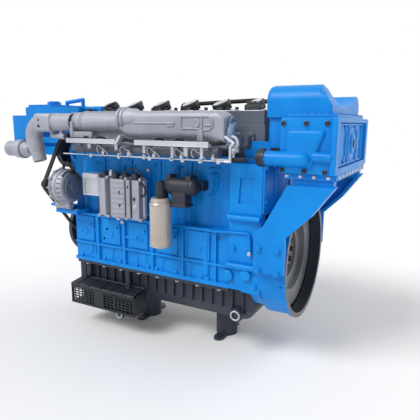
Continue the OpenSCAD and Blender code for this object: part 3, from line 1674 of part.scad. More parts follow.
module cooler_duct() {
  color(blue) difference() {
    union() {
      plate_x([duct_front, duct_back]) duct_outline();
      // base flange on the cooler and the column that reaches down in front of it
      span([cool_x0, cool_x1 - deep], [-core_y, core_y], [cool_z1, cool_z1 + duct_lip]);
      span([duct_front + duct_lip, cool_x0 - gap], [near_y, far_y],
         [column_low, cool_z1 + over]);
      bar_z(duct_front + column_wide_r, near_y, [column_low, duct_top - lobe_cr], column_wide_r - gap);
    }
    // slanted rear end of the near lobe
    plate_y([-cool_half, valley_y]) polygon([[duct_slant_x, duct_top + over],
      [duct_back + over, valley_z], [duct_back + over, duct_top + over]]);
    // air way through both lobes into the cooler
    for (p = [[near_y, 0], [far_y, far_drop]])
      bar_x([duct_front + core_w, duct_slant_x - 2 * core_w], p[0], duct_top - lobe_cr - p[1],
         lobe_cr - core_w);
    span([cool_x0 + core_w, duct_slant_x - core_w], [near_y, far_y],
       [cool_z1 - over, valley_z - 2 * core_w]);
  }
}

// Plates from the housing's pads up to the cooler, tied by one cross web
module cooler_brackets() {
  low_z = brk_pts[5][1];
  color(blue) difference() {
    union() {
      for (s = [-1, 1])
        mirror([0, s > 0 ? 0 : 1, 0]) {
          plate_y([pad_y, pad_y + brk_t]) polygon(brk_pts);
          span([brk_pts[5][0] + rib_out, brk_pts[4][0] - rib_out],
             [pad_y - brk_shelf, pad_y - brk_recess], [low_z, cooler_base_z]);
          span([brk_pts[5][0] + rib_out, brk_pts[4][0] - rib_out],
             [pad_y - brk_shelf, pad_y + over], [low_z - brk_t, low_z]);
          // flange along the sloping rear edge
          plate_y([pad_y - brk_lip_in, pad_y + over]) polygon([
            brk_pts[2] + [0, brk_lip_t * 1.5], brk_pts[2],
            brk_pts[3], brk_pts[4], brk_pts[4] - [brk_lip_t * 1.5, 0],
            brk_pts[3] + brk_lip_t * [-1, 0.7]]);
        }
      span([brk_pts[5][0] + rib_out, brk_pts[4][0] - 2 * brk_shelf], [-pad_y, pad_y],
         [low_z - brk_t, low_z]);
    }
    for (x = brk_x, z = brk_z) {
      face_near(x, -pad_y - brk_t, z) bolt_hole(length = brk_t);
      face_far(x, pad_y + brk_t, z) bolt_hole(length = brk_t);
    }
  }
}

// Bands on the cooler pipe's end and on the top hose
module clamp_ring(x, y, z, r) {
  difference() {
    bar_x([x, x + clamp_w], y, z, r + clamp_t);
    bar_x([x - over, x + clamp_w + over], y, z, r + gap / 2);
  }
  span([x, x + clamp_w], about(y, clamp_t), [z + r + clamp_t / 2, z + r + 2 * clamp_t]);
}

module hose_clamps() {
  color(black) {
    clamp_ring(pipe_x + over, pipe_y, pipe_z, pipe_r);
    clamp_ring(duct_front - 1.8 * clamp_w, far_y, far_z, charge_r);
    clamp_ring(charge_pts[0][0] + clamp_w, charge_pts[0][1], charge_pts[0][2], charge_r);
  }
}

// Breather hose on top of the engine, and the charge air hose on the far side
module hoses() {
  color(black) {
    pipe(top_pts, hose_r);
    pipe(charge_pts, charge_r);
  }
}
// Expansion tank across the front, in two steps, with its filler neck
module expansion_tank() {
  color(blue) difference() {
    union() {
      span([tank_x0, tank_x1], [-tank_y, tank_y], [tank_low, tank_mid]);
      span([tank_shelf, tank_back], [-tank_y, tank_y], [tank_base, tank_top]);
      span(lid_x, [-tank_y + rib_out, tank_y - rib_out], [tank_top - over, tank_top + lid_t]);
      bar_z(neck_x, neck_y, [tank_top - over, tank_top + lid_t + neck_h], neck_out_r);
      // coolant outlet over the rocker cover, and the vent pipe on top
      bar_x([tank_back - over, outlet_end], outlet_y, outlet_z, outlet_pr);
      span([outlet_end - 2 * outlet_pr, outlet_end], about(outlet_y, outlet_pr),
         [deck_z + head_h + cover_h, outlet_z]);
      pipe([[hook_x[0], outlet_y, tank_top], [hook_x[0], outlet_y, tank_top + hook_h],
            [hook_x[1], outlet_y, tank_top + 1.5 * hook_h], [hook_x[1], outlet_y, tank_top - over]], hose_r);
    }
    span([tank_x0 + tank_w, tank_x1 - tank_w], [-tank_y + tank_w, tank_y - tank_w],
       [tank_low + tank_w, tank_mid - tank_w]);
    span([tank_shelf + tank_w, tank_back - tank_w], [-tank_y + tank_w, tank_y - tank_w],
       [tank_base + tank_w, tank_top - tank_w]);
    bar_z(neck_x, neck_y, [tank_top - 2 * tank_w, tank_top + lid_t + neck_h + over], neck_out_r - tank_w);
  }
}

module filler_cap() {
  base = tank_top + lid_t;
  color(blue) difference() {
    union() {
      bar_z(neck_x, neck_y, [base + gap, base + neck_h + filler_h / 2], filler_r + tank_w);
      for (a = [0, 90])
        at(neck_x, neck_y, base + neck_h + filler_h / 2) rotate(a)
          cube([2 * filler_r, rib_w, filler_h], center = true);
    }
    bar_z(neck_x, neck_y, [base, base + neck_h + gap], neck_out_r + gap);
  }
}

// Arms that carry the tank from the front cover
module tank_frame() {
  color(blue) {
    for (s = [0, 1])
      mirror([0, s, 0]) {
        plate_y(arm_y) polygon(arm_high);
        plate_y(arm_y) polygon(arm_low);
      }
    // cross plate in front of the belt, and the far arm that passes outside the belt
    span([arm_end - brk_t, arm_end], [-arm_y[1], arm_y[1]], [arm_low[2][1], arm_high[0][1]]);
    plate_y(arm_y) polygon(arm_far);
  }
}

// Heat exchanger under the tank with its silver dome
module heat_exchanger() {
  color(blue) union() {
    bar_x(hx_x, hx_y, hx_z, hx_r);
    bar_x([hx_x[1] - 3 * hx_ring_t, hx_x[1]], hx_y, hx_z,
       hx_r + hx_ring_out);
    span([hx_x[0] + hx_ring_t, hx_x[1]], [hx_y, -tank_y],
       [hx_z - rib_out / 2, hx_z + rib_out]);
  }
  color(silver) union() {
    bar_x([hx_x[1], hx_x[1] + dome_len / 3], hx_y, hx_z, hx_r);
    translate([hx_x[1] + dome_len / 3, hx_y, hx_z]) rotate([0, 90, 0])
      cylinder(h = dome_len * 0.4, r1 = hx_r, r2 = hx_r * 0.7);
    translate([hx_x[1] + dome_len * 0.7, hx_y, hx_z]) rotate([0, 90, 0])
      cylinder(h = dome_len * 0.2, r1 = hx_r * 0.7, r2 = hx_r * 0.3);
  }
}

// Perforated guard beside the pan
module lower_guard() {
  color(black) difference() {
    side_guard();
    for (i = [0 : guard_slots_x - 1], k = [0 : guard_slots_z - 1])
      if (abs(guard_x + (i + 1) * guard_w / guard_slots_x - guard_plate_x - guard_plate_w / 2)
        > guard_plate_w / 2)
      at(guard_x + (i + 0.7) * guard_w / (guard_slots_x + 0.4), guard_y0 - guard_rib_out - over,
            guard_top - guard_h + (k + 0.5) * guard_h / (guard_slots_z + 0.5))
        cube([guard_slot_w, guard_wall + guard_rib_out + 2 * over, guard_slot_h]);
  }
}

module side_guard() {
  low = guard_top - guard_h;
  difference() {
    union() {
      plate_x([guard_x, guard_x + guard_w]) polygon([[guard_y0, low], [guard_y0, guard_top],
        [guard_y1, guard_back_top], [guard_y1, low]]);
      for (k = [0 : guard_ribs])
        span([guard_x + k * guard_w / guard_ribs * 0.98,
            guard_x + k * guard_w / guard_ribs * 0.98 + guard_rib_w],
           [guard_y0 - guard_rib_out, guard_y0 + over], [low, guard_top]);
      span([guard_plate_x, guard_plate_x + guard_plate_w], [guard_y0 - guard_rib_out, guard_y0 + over],
         [low + guard_plug_r, guard_top]);
    }
    plate_x([guard_x + guard_wall, guard_x + guard_w - guard_wall]) polygon([
      [guard_y0 + guard_wall, low + guard_wall], [guard_y0 + guard_wall, guard_top - guard_wall],
      [guard_y1 - guard_wall, guard_back_top - guard_wall], [guard_y1 - guard_wall, low + guard_wall]]);
  }
  for (x = guard_strap_x)
    span(x, guard_strap_y, [guard_top, -pan_joint - pan_flange_t]);
}

// Log exhaust manifold along the far side
module exhaust_manifold() {
  color(iron) difference() {
    union() {
      bar_x([cyl_x(cyls - 1) - port_w / 2 - tube_wall, cyl_x(0) + port_w / 2 + tube_wall],
         exhaust_y + exhaust_r, exhaust_z, exhaust_r);
      for (i = [0 : cyls - 1])
        span([cyl_x(i) - port_w / 2 - tube_wall, cyl_x(i) + port_w / 2 + tube_wall],
           [head_y, exhaust_y + exhaust_r], [port_z, port_z + port_h + 2 * tube_wall]);
    }
    for (i = [0 : cyls - 1])
      span(about(cyl_x(i), port_w / 2), [head_y - over, exhaust_y + exhaust_r],
         [port_z + tube_wall, port_z + port_h + tube_wall]);
    bar_x([cyl_x(cyls - 1), cyl_x(0)], exhaust_y + exhaust_r, exhaust_z, exhaust_r - exhaust_wall);
  }
}

module turbo_housing() {
  turbine = [turbo_x - turbo_half, turbo_x];
  compressor = [turbo_x + center_len, turbo_x + center_len + turbo_half];
  color(iron) difference() {
    union() {
      bar_x(turbine, turbo_y, turbo_z, scroll_r);
      bar_x([turbine[0] - outlet_len, turbine[0] + over], turbo_y, turbo_z, outlet_r);
      bar_x([turbine[1] - over, compressor[0] + over], turbo_y, turbo_z, center_r);
      bar_x(compressor, turbo_y, turbo_z, scroll_r + rib_out);
      span([turbine[0] + rib_out, turbine[1] - rib_out], [exhaust_y + 2 * exhaust_r, turbo_y],
         [exhaust_z - exhaust_r * 0.7, exhaust_z + exhaust_r * 0.7]);
      bar_x([compressor[0] + rib_out, charge_pts[0][0]], charge_pts[0][1], charge_pts[0][2], charge_r);
    }
    bar_x([turbine[0] - outlet_len - over, turbine[0] + rib_out], turbo_y, turbo_z, outlet_r - exhaust_wall);
    bar_x([turbine[0], turbine[1] - rib_out], turbo_y, turbo_z, wheel_r + over);
    bar_x([turbine[0], compressor[1]], turbo_y, turbo_z, rotor_shaft_r + running);
    bar_x([compressor[0] + rib_out, compressor[1] + over], turbo_y, turbo_z, wheel_r + over);
  }
}

module turbo_rotor() {
  color(steel) {
    bar_x([turbo_x - turbo_half + rib_out, turbo_x + center_len + turbo_half - rib_out],
       turbo_y, turbo_z, rotor_shaft_r);
    for (x = [turbo_x - turbo_half + rib_out, turbo_x + center_len + rib_out + over])
      at(x, turbo_y, turbo_z) for (k = [0 : blades - 1])
        rotate([k * 360 / blades, 0, 0])
          span([0, turbo_half - 3 * rib_out], [-blade_t / 2, blade_t / 2], [0, wheel_r]);
  }
}

module starter_motor() {
  x0 = -house_l - st_len;
  color(black) difference() {
    union() {
      bar_x([x0, -house_l - pinion_stroke], st_y, st_z, st_d / 2);
      bar_x([x0 - rib_out, x0 + over], st_y, st_z, st_d / 3);
      bar_x([-house_l - pinion_stroke - over, -house_l], st_y, st_z, st_nose_r);
      bar_x([x0 + rib_out, x0 + solenoid_l], st_y + st_d * 0.38, st_z + st_d * 0.6, solenoid_r);
      span([x0 + 3 * rib_out, x0 + solenoid_l], [st_y, st_y + st_d * 0.38],
         [st_z, st_z + st_d * 0.5]);
      bar_x([-house_l - st_flange_t, -house_l], st_y, st_z, st_bulge_r);
    }
    bar_x([-house_l - pinion_w - pinion_stroke / 2, over], st_y, st_z, st_pocket_r);
    bar_x([-house_l - 3 * pinion_w - pinion_stroke, over], st_y, st_z, sleeve_r + running);
  }
}

module starter_pinion() {
  x = -house_l - pinion_rest;
  color(steel) union() {
    at(0, st_y, st_z) plate_x([x, x + pinion_w])
      gear_outline(ring_m, n_pinion, mesh_phase(st_line, st_line, n_ring, n_pinion));
    bar_x([x - 1.5 * pinion_w, x + over], st_y, st_z, sleeve_r);
  }
}

module oil_filters() {
  color(beige) union() {
    for (x = oil_x)
      bar_z(x, oil_y, [oil_z - oil_h, oil_z + over], oil_d / 2);
    span([oil_x[0] - oil_d / 2, oil_x[1] + oil_d / 2],
       [skirt_y + rib_out, oil_y + oil_d / 2], [oil_z, oil_z + oil_head_h]);
  }
}

module dipstick() {
  color(steel) union() {
    rod(stick_at(stick_top), stick_at(stick_bottom), stick_r);
    rod(stick_at(stick_top - over), stick_at(stick_top + stick_handle_r), stick_r * 2);
    translate(stick_at(stick_top + 2 * stick_handle_r)) rotate([0, 90, 0]) difference() {
      cylinder(h = 2 * stick_r, r = stick_handle_r, center = true);
      cylinder(h = 3 * stick_r, r = stick_handle_r / 2, center = true);
    }
  }
}

cylinder_block();
cylinder_liners();
main_bearing_caps();
crankshaft();
idler_gear();
camshaft();
outer_pistons();
middle_pistons();
inner_pistons();
gear_case();
flywheel_housing();
flywheel();
ring_gear();
front_cover();
crank_damper();
oil_pan();
pan_bolts();
cylinder_head();
rocker_cover();
cover_fittings();
intake_manifold();
manifold_end_cap();
front_elbow();
wiring_tray();
fuel_rail();
leak_off_pipes();
control_unit();
control_unit_frame();
control_unit_plugs();
alternator();
alternator_pulley();
alternator_bracket();
drive_belt();
water_pump();
water_pump_pulley();
expansion_tank();
filler_cap();
tank_frame();
heat_exchanger();
filter_head();
fuel_filter();
breather_separator();
lower_guard();
charge_air_cooler();
cooler_covers();
cooler_duct();
cooler_brackets();
cooler_bolts();
hose_clamps();
hoses();
exhaust_manifold();
turbo_housing();
turbo_rotor();
starter_motor();
starter_pinion();
oil_filters();
sea_water_pump();
sea_pump_pulley();
dipstick();
support_posts();
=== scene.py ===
import json
from math import cos, pi, radians, sin

import bmesh
import bpy
from mathutils import Matrix, Vector


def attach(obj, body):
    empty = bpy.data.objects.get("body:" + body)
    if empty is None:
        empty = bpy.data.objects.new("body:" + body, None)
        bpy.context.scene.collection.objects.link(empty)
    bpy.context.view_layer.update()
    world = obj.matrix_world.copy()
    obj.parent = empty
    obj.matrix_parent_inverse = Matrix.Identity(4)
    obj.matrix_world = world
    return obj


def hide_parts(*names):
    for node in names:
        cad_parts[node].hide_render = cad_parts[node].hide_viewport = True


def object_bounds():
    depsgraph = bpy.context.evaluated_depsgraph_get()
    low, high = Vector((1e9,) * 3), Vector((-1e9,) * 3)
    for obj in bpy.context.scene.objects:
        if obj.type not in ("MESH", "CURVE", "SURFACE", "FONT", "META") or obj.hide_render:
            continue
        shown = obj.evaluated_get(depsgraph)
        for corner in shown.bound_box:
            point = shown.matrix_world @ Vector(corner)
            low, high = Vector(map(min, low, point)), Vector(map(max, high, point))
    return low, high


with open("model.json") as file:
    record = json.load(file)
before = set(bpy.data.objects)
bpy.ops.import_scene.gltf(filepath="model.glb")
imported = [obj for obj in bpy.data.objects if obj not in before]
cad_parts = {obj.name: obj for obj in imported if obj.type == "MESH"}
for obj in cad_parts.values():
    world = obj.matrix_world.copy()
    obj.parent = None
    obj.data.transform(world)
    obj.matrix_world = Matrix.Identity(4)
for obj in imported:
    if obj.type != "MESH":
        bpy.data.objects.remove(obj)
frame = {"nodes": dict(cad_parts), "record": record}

cad_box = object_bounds()
nodes = frame["nodes"]
scene = bpy.context.scene


# Camera, a metre above the floor off the flywheel end of the service side.
# Its focal length, place and turn give the photograph's 420 pixel frame.
def placed(name, data):
    """A new object in the scene."""
    made = bpy.data.objects.new(name, data)
    scene.collection.objects.link(made)
    return made


focal_px, frame_px, sensor_mm = 439.889, 420, 36
eye = Vector((0.519, -1.873, 0.576))
azimuth, elevation, roll = (radians(a) for a in (28.267, 11.09, 0.439))
back = Vector((sin(azimuth) * cos(elevation), -cos(azimuth) * cos(elevation), sin(elevation)))
level_right = (-back).cross(Vector((0, 0, 1))).normalized()
level_up = level_right.cross(-back)
right = cos(roll) * level_right + sin(roll) * level_up
up = cos(roll) * level_up - sin(roll) * level_right
lens = bpy.data.cameras.new("camera")
lens.sensor_width = sensor_mm
lens.lens = focal_px * sensor_mm / frame_px
lens.clip_start = 0.05
camera = placed("camera", lens)
camera.matrix_world = Matrix.Translation(eye) @ Matrix((right, up, back)).transposed().to_4x4()
scene.camera = camera


# Light: a white tent all round, one soft lamp high on the service side and a weaker one from behind.
# The tent is plain white to the eye and in reflections, and lights at part strength, so a colour shows as written.
def linear(code):
    """sRGB hex colour as the linear colour that a socket takes."""
    parts = [int(code[i:i + 2], 16) / 255 for i in (1, 3, 5)]
    return [*(v / 12.92 if v <= 0.04045 else ((v + 0.055) / 1.055) ** 2.4 for v in parts), 1]


def lead(tree, target, links):
    """Leads sockets, or other nodes' first outputs, to the inputs of a shader node."""
    for key, source in links.items():
        tree.links.new(getattr(source, "outputs", [source])[0], target.inputs[key])


def add(tree, kind, values={}, links={}):
    """Adds a shader node. values set its properties or its inputs."""
    made = tree.nodes.new("ShaderNode" + kind)
    for key, value in values.items():
        if isinstance(key, str) and hasattr(made, key):
            setattr(made, key, value)
        else:
            made.inputs[key].default_value = value
    lead(tree, made, links)
    return made


tent_level = 0.56
world = bpy.data.worlds.new("tent")
world.use_nodes = True
scene.world = world
tent = world.node_tree
tent.nodes.clear()
ray = add(tent, "LightPath").outputs
seen = add(tent, "Math", {"operation": "ADD"}, {0: ray["Is Camera Ray"], 1: ray["Is Glossy Ray"]})
seen = add(tent, "Math", {"operation": "ADD", "use_clamp": True}, {0: seen, 1: ray["Is Transmission Ray"]})
level = add(tent, "MapRange", {"To Min": tent_level, "To Max": 1}, {"Value": seen})
glow = add(tent, "Background", {"Color": linear("#FFFFFF")}, {"Strength": level})
add(tent, "OutputWorld", {}, {"Surface": glow})

for name, power, softness, tilt, turn in (("key lamp", 1.9, 25, 44, -30), ("back lamp", 0.7, 60, 55, 130)):
    lamp = bpy.data.lights.new(name, "SUN")
    lamp.energy = power
    lamp.angle = radians(softness)
    placed(name, lamp).rotation_euler = (radians(tilt), 0, radians(turn))


# Floor: a plain pale sheet under the posts' feet.
# It is the studio's, not part of the engine.
def blank(name):
    """A new material, and its shader."""
    made = bpy.data.materials.new(name)
    made.use_nodes = True
    return made, made.node_tree.nodes["Principled BSDF"]


floor_half, floor_z = 9, cad_box[0].z
sheet = bpy.data.meshes.new("floor")
floor_corners = [(x * floor_half, y * floor_half, floor_z) for x, y in ((-1, -1), (1, -1), (1, 1), (-1, 1))]
sheet.from_pydata(floor_corners, [], [(0, 1, 2, 3)])
placed("floor", sheet)
pale_floor, pale_shader = blank("pale floor")
pale_shader.inputs["Base Color"].default_value = linear("#F4F4F4")
pale_shader.inputs["Roughness"].default_value = 0.9
sheet.materials.append(pale_floor)


# Cylinder block and the blue castings bolted to it.
# Grey iron, sand cast and sprayed with one coat of blue engine enamel over primer; its edges are drawn lighter, partly
# as wear and partly as a painted highlight.
def metal_surface(name, colour, low, worn_and_lit_edge, grain_mm, depth_mm, rough,
                  metallic=0, coat=0, wear=0.5, specular=0.5):
    """Painted, moulded or bare surface: two tones in slow clouds, a lighter third along the edges for wear and as a
    painted highlight, and a fine grain.

    The real grain of sand, lacquer or rubber is under 1 mm. It is drawn at 5 to 12 mm, so that it shows."""
    cloud_mm, edge_mm = 140, 2.5
    made, shader = blank(name)
    tree = made.node_tree
    for key, value in (("Metallic", metallic), ("Coat Weight", coat), ("Coat Roughness", 0.12),
                       ("Specular IOR Level", specular)):
        shader.inputs[key].default_value = value
    place = add(tree, "TexCoord").outputs["Object"]
    cloud = add(tree, "TexNoise", {"Scale": 1000 / cloud_mm, "Detail": 5}, {"Vector": place})
    grain = add(tree, "TexNoise", {"Scale": 1000 / grain_mm, "Detail": 3}, {"Vector": place})
    tone = add(tree, "ValToRGB", {}, {"Fac": cloud})
    for stop, position, shade in zip(tone.color_ramp.elements, (0.35, 0.62), (low, colour)):
        stop.position, stop.color = position, linear(shade)
    edge = add(tree, "Bevel", {"samples": 4, "Radius": edge_mm / 1000})
    flat = add(tree, "NewGeometry").outputs["Normal"]
    facing = add(tree, "VectorMath", {"operation": "DOT_PRODUCT"}, {0: edge, 1: flat}).outputs["Value"]
    # edge mask: where the Bevel normal turns away from the true one, the lighter colour paints wear and a painted
    # highlight
    bare = add(tree, "MapRange", {"From Min": 0.99, "From Max": 0.8, "To Max": wear}, {"Value": facing})
    shown = add(tree, "Math", {"operation": "MULTIPLY"}, {0: bare, 1: grain})
    painted = add(tree, "Mix", {"data_type": "RGBA", 7: linear(worn_and_lit_edge)}, {0: shown, 6: tone})
    sheen = add(tree, "MapRange", {"From Min": 0.3, "From Max": 0.7, "To Min": rough - 0.05, "To Max": rough + 0.07},
                {"Value": cloud})
    bump = add(tree, "Bump", {"Strength": 1, "Distance": depth_mm / 1000}, {"Height": grain, "Normal": edge})
    lead(tree, shader, {"Base Color": painted.outputs[2], "Roughness": sheen, "Normal": bump})
    return made


slot_of = {part["node"]: part["material_slot"] for part in frame["record"]["subparts"]}
coat_of = {}


def dress(slot, *look, **more):
    """Makes the finish of a material slot, and gives it to the CAD pieces of that slot."""
    coat = coat_of[slot] = metal_surface(*look, **more)
    for name, solid in nodes.items():
        if slot_of[name] == slot:
            solid.data.materials.clear()
            solid.data.materials.append(coat)


dress("engine_paint", "blue engine enamel on cast iron", "#008AE0", "#0080D6", "#3CA8F0", 7, 0.5, 0.34,
      wear=0.35, specular=0.22)

# Flywheel housing: one iron casting, blue outside; inside the bore its colour is dark grey, a painted shade of the deep
# recess.
# Its mating face is turned after painting, so it is bare and a little brown with oil.
bore_r, face_x = 0.2562, -0.0008
housing_coat = coat_of["engine_paint"].copy()
housing_coat.name = "blue enamel, primed bore and turned face"
tree = housing_coat.node_tree
shader = tree.nodes["Principled BSDF"]
blue_tone = shader.inputs["Base Color"].links[0].from_socket
where = add(tree, "TexCoord").outputs["Object"]
x, y, z = add(tree, "SeparateXYZ", {}, {0: where}).outputs
across = add(tree, "CombineXYZ", {}, {1: y, 2: z})
radius = add(tree, "VectorMath", {"operation": "LENGTH"}, {0: across})
# inside bore_r the colour turns dark grey: painted shade in the deep bore
within = add(tree, "Math", {"operation": "LESS_THAN", 1: bore_r}, {0: radius.outputs["Value"]})
shade_painted = add(tree, "Mix", {"data_type": "RGBA", 7: linear("#30343F")}, {0: within, 6: blue_tone})
at_face = add(tree, "Math", {"operation": "GREATER_THAN", 1: face_x}, {0: x})
faced = add(tree, "Mix", {"data_type": "RGBA", 7: linear("#77716E")}, {0: at_face, 6: shade_painted.outputs[2]})
lead(tree, shader, {"Base Color": faced.outputs[2]})
nodes["flywheel_housing"].data.materials[0] = housing_coat

# Crank train, gears, liners and pistons, with the flywheel, the starter's pinion and the turbocharger's shaft.
# Forged steel, turned or hobbed and left bare under oil; the pistons are turned from aluminium alloy.
dress("machined_steel", "turned and oiled steel", "#8C8D92", "#7A7B82", "#C8C8CC", 10, 0.2, 0.4, metallic=0.55)
dress("piston_alloy", "turned piston alloy", "#B4B6BC", "#A2A4AC", "#D2D4D8", 8, 0.2, 0.35, metallic=0.7)

# Cooler end covers: cast lids, one on each end of the cooler box.
# A flat flange takes six bolts, and the dished middle leads the air into the side pipe.
aft, fore, near, far, upward, downward = (1, 0, 0), (-1, 0, 0), (0, -1, 0), (0, 1, 0), (0, 0, 1), (0, 0, -1)
plane_of = {"x": lambda u, v, w: (w, u, v), "y": lambda u, v, w: (u, w, v), "z": lambda u, v, w: (u, v, w)}


def skin(bm, rings, joined=False):
    """Faces between rings of equally many points in millimetres, capped at both ends or joined to a hoop."""
    rows = [[bm.verts.new(Vector(p)) for p in line] for line in rings]
    for low, high in zip(rows, rows[1:] + (rows[:1] if joined else [])):
        for i in range(len(low)):
            j = (i + 1) % len(low)
            bm.faces.new((low[i], low[j], high[j], high[i]))
    if not joined:
        bm.faces.new(rows[0][::-1])
        bm.faces.new(rows[-1])


def neighbours(points):
    """Each point of a closed outline, between the one before it and the one after it."""
    points = [Vector(p) for p in points]
    return zip(points[-1:] + points[:-1], points, points[1:] + points[:1])


def eased(before, p, after, radius, share, steps):
    """Points of the bend at p, which reaches the radius along each side, or at most a share of its length."""
    reach = min(radius, (before - p).length * share, (after - p).length * share)
    start, end = p + (before - p).normalized() * reach, p + (after - p).normalized() * reach
    return [(1 - t) ** 2 * start + 2 * t * (1 - t) * p + t * t * end for t in (k / steps for k in range(steps + 1))]


def rounded(corners, radius, steps=4):
    """The outline of a polygon with its corners rounded, as a list of points."""
    return [q for before, p, after in neighbours(corners) for q in eased(before, p, after, radius, 0.5, steps)]


def oblong(a0, a1, b0, b1, corner, steps=4):
    """The outline of a rectangle with rounded corners."""
    return rounded([(a0, b0), (a1, b0), (a1, b1), (a0, b1)], corner, steps)


def shrunk(outline, inset):
    """The outline moved inwards. It runs anticlockwise in its own plane."""
    moved = []
    for before, p, after in neighbours(outline):
        along = (after - before).normalized()
        moved.append(p + inset * Vector((-along.y, along.x)))
    return moved


def drawn_in(corners, inset):
    """Corners of a convex outline, each side moved inwards by the inset."""
    middle = sum((Vector(c) for c in corners), Vector((0, 0))) / len(corners)
    moved = []
    for before, p, after in neighbours(corners):
        sides = (p - before).normalized(), (after - p).normalized()
        n1, n2 = (Vector((-s.y, s.x)) for s in sides)
        n1, n2 = (n if n.dot(middle - p) > 0 else -n for n in (n1, n2))
        moved.append(p + (n1 + n2) * inset / (1 + n1.dot(n2)))
    return moved


def slab(bm, axis, outline, start, end, soft):
    """A plate or lid standing on an outline: from start to end along the axis, with softened rims."""
    lay = plane_of[axis]
    side = 1 if end > start else -1
    # the outline's area is negative where it runs clockwise
    if sum(a.x * b.y - b.x * a.y for a, b in zip(outline, outline[1:] + outline[:1])) < 0:
        outline = outline[::-1]
    stages = [(start, 0), (end - side * soft, 0), (end - side * soft * 0.3, soft * 0.3), (end, soft)]
    skin(bm, [[lay(p.x, p.y, w) for p in shrunk(outline, inset)] for w, inset in stages])


def span(middle, half):
    """The limits half a width on each side of a middle."""
    return middle - half, middle + half


def box(bm, x, y, z, soft, corner, axis="z"):
    """A block between limits, its corners rounded and its upper rim softened along the axis."""
    first, second, along = {"x": (y, z, x), "y": (x, z, y), "z": (x, y, z)}[axis]
    slab(bm, axis, oblong(*first, *second, corner, 3), *along, soft)


def crosswise(axis):
    """Two directions across an axis."""
    axis = Vector(axis).normalized()
    first = axis.orthogonal().normalized()
    return first, axis.cross(first)


def circle(middle, first, second, radius, sides):
    """Points round a middle, in the plane of two directions."""
    middle, first, second = Vector(middle), Vector(first), Vector(second)
    angles = (2 * pi * k / sides for k in range(sides))
    return [middle + radius * (cos(a) * first + sin(a) * second) for a in angles]


def turned(bm, start, axis, profile, sides):
    """A turned piece: profile gives (distance along the axis, radius) from the start point."""
    axis = Vector(axis).normalized()
    first, second = crosswise(axis)
    skin(bm, [circle(Vector(start) + axis * along, first, second, radius, sides) for along, radius in profile])


def tube(bm, points, radius, bend, sides):
    """A pipe, hose or wire along a path, its corners rounded to the bend."""
    points = [Vector(p) for p in points]
    path = points[:1]
    for before, p, after in zip(points, points[1:], points[2:]):
        path += eased(before, p, after, bend, 0.48, 6)
    path.append(points[-1])
    first = crosswise(path[1] - path[0])[0]
    rings = []
    for i, p in enumerate(path):
        along = (path[min(i + 1, len(path) - 1)] - path[max(i - 1, 0)]).normalized()
        first = (first - along * first.dot(along)).normalized()
        rings.append(circle(p, first, along.cross(first), radius, sides))
    skin(bm, rings)


def bolts(bm, places, axis, width, height, washer=1.35):
    """Flanged hexagon bolt heads that stand on their places and look along the axis."""
    half = width / 2
    for place in places:
        turned(bm, place, axis, [(0, half * washer), (height * 0.2, half * washer), (height * 0.32, half * 1.08)], 20)
        turned(bm, place, axis, [(height * 0.15, half * 1.12), (height * 0.85, half * 1.12), (height, half * 0.9)], 6)


def piece(name, bm, slot, finish=None, body="engine", hides=None):
    """Turns the millimetre mesh into a named piece on a body. Its finish is the slot's, unless given."""
    sharp_degrees = 32
    bmesh.ops.scale(bm, vec=Vector((0.001, 0.001, 0.001)), verts=bm.verts)
    bmesh.ops.recalc_face_normals(bm, faces=bm.faces)
    mesh = bpy.data.meshes.new(name)
    bm.to_mesh(mesh)
    bm.free()
    mesh.materials.append(finish or coat_of[slot])
    mesh.shade_smooth()
    mesh.set_sharp_from_angle(angle=radians(sharp_degrees))
    made = placed(name, mesh)
    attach(made, body)
    if hides:
        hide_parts(hides)


core_y, cover_t, lid_y = 265, 16, 313
cover_places = [(x, z) for x in (-24, 61, 136) for z in (408, 580)]
lid_corners = [(-13, 419), (92, 419), (106, 470), (138, 560), (-13, 560)]
covers = bmesh.new()
for side in (-1, 1):
    flange, face = side * (core_y + cover_t), side * (core_y + 2 * cover_t)
    slab(covers, "y", oblong(-35, 158, 397, 601, 7), flange, face, 2.5)
    # the lid rises from the flange in a soft dish
    dish = [(face + side * rise, inset) for rise, inset in ((-2, 0), (3, 1.5), (7, 3), (12, 6.5), (15, 12))]
    skin(covers, [[(p.x, w, p.y) for p in rounded(drawn_in(lid_corners, inset), 16, 5)]
                  for w, inset in [*dish, (side * lid_y, 19)]])
    # bolt bosses stand a little proud of the flange
    for x, z in cover_places:
        turned(covers, (x, face - side, z), (0, side, 0), [(0, 13), (2.4, 13), (3, 12)], 24)
pipe_y, pipe_z, pipe_r = -308.5, 451, 27.5
turned(covers, (-104, pipe_y, pipe_z), aft, [
    (0, 24), (0.1, pipe_r - 1), (1.5, pipe_r), (150, pipe_r), (164, 26.5), (176, 23), (184, 16), (188, 7)], 40)
turned(covers, (78, -303, 463), (1, 0.06, -0.05), [(0, 9), (8, 15), (18, 18.5), (30, 20), (80, 20)], 28)
piece("cooler_end_covers", covers, "engine_paint", hides="cooler_covers")

# Air duct: a welded and cast hood on top of the cooler, with two round lobes across the engine.
# The near lobe ends in a sloping face, and a round column brings its air up in front of the cooler.
lobe_r, near_y, far_y, near_top, far_top, valley_z = 62, -196, 190, 722, 698, 645
slant_start, duct_end, duct_front, duct_base = 88, 140, -112, 602


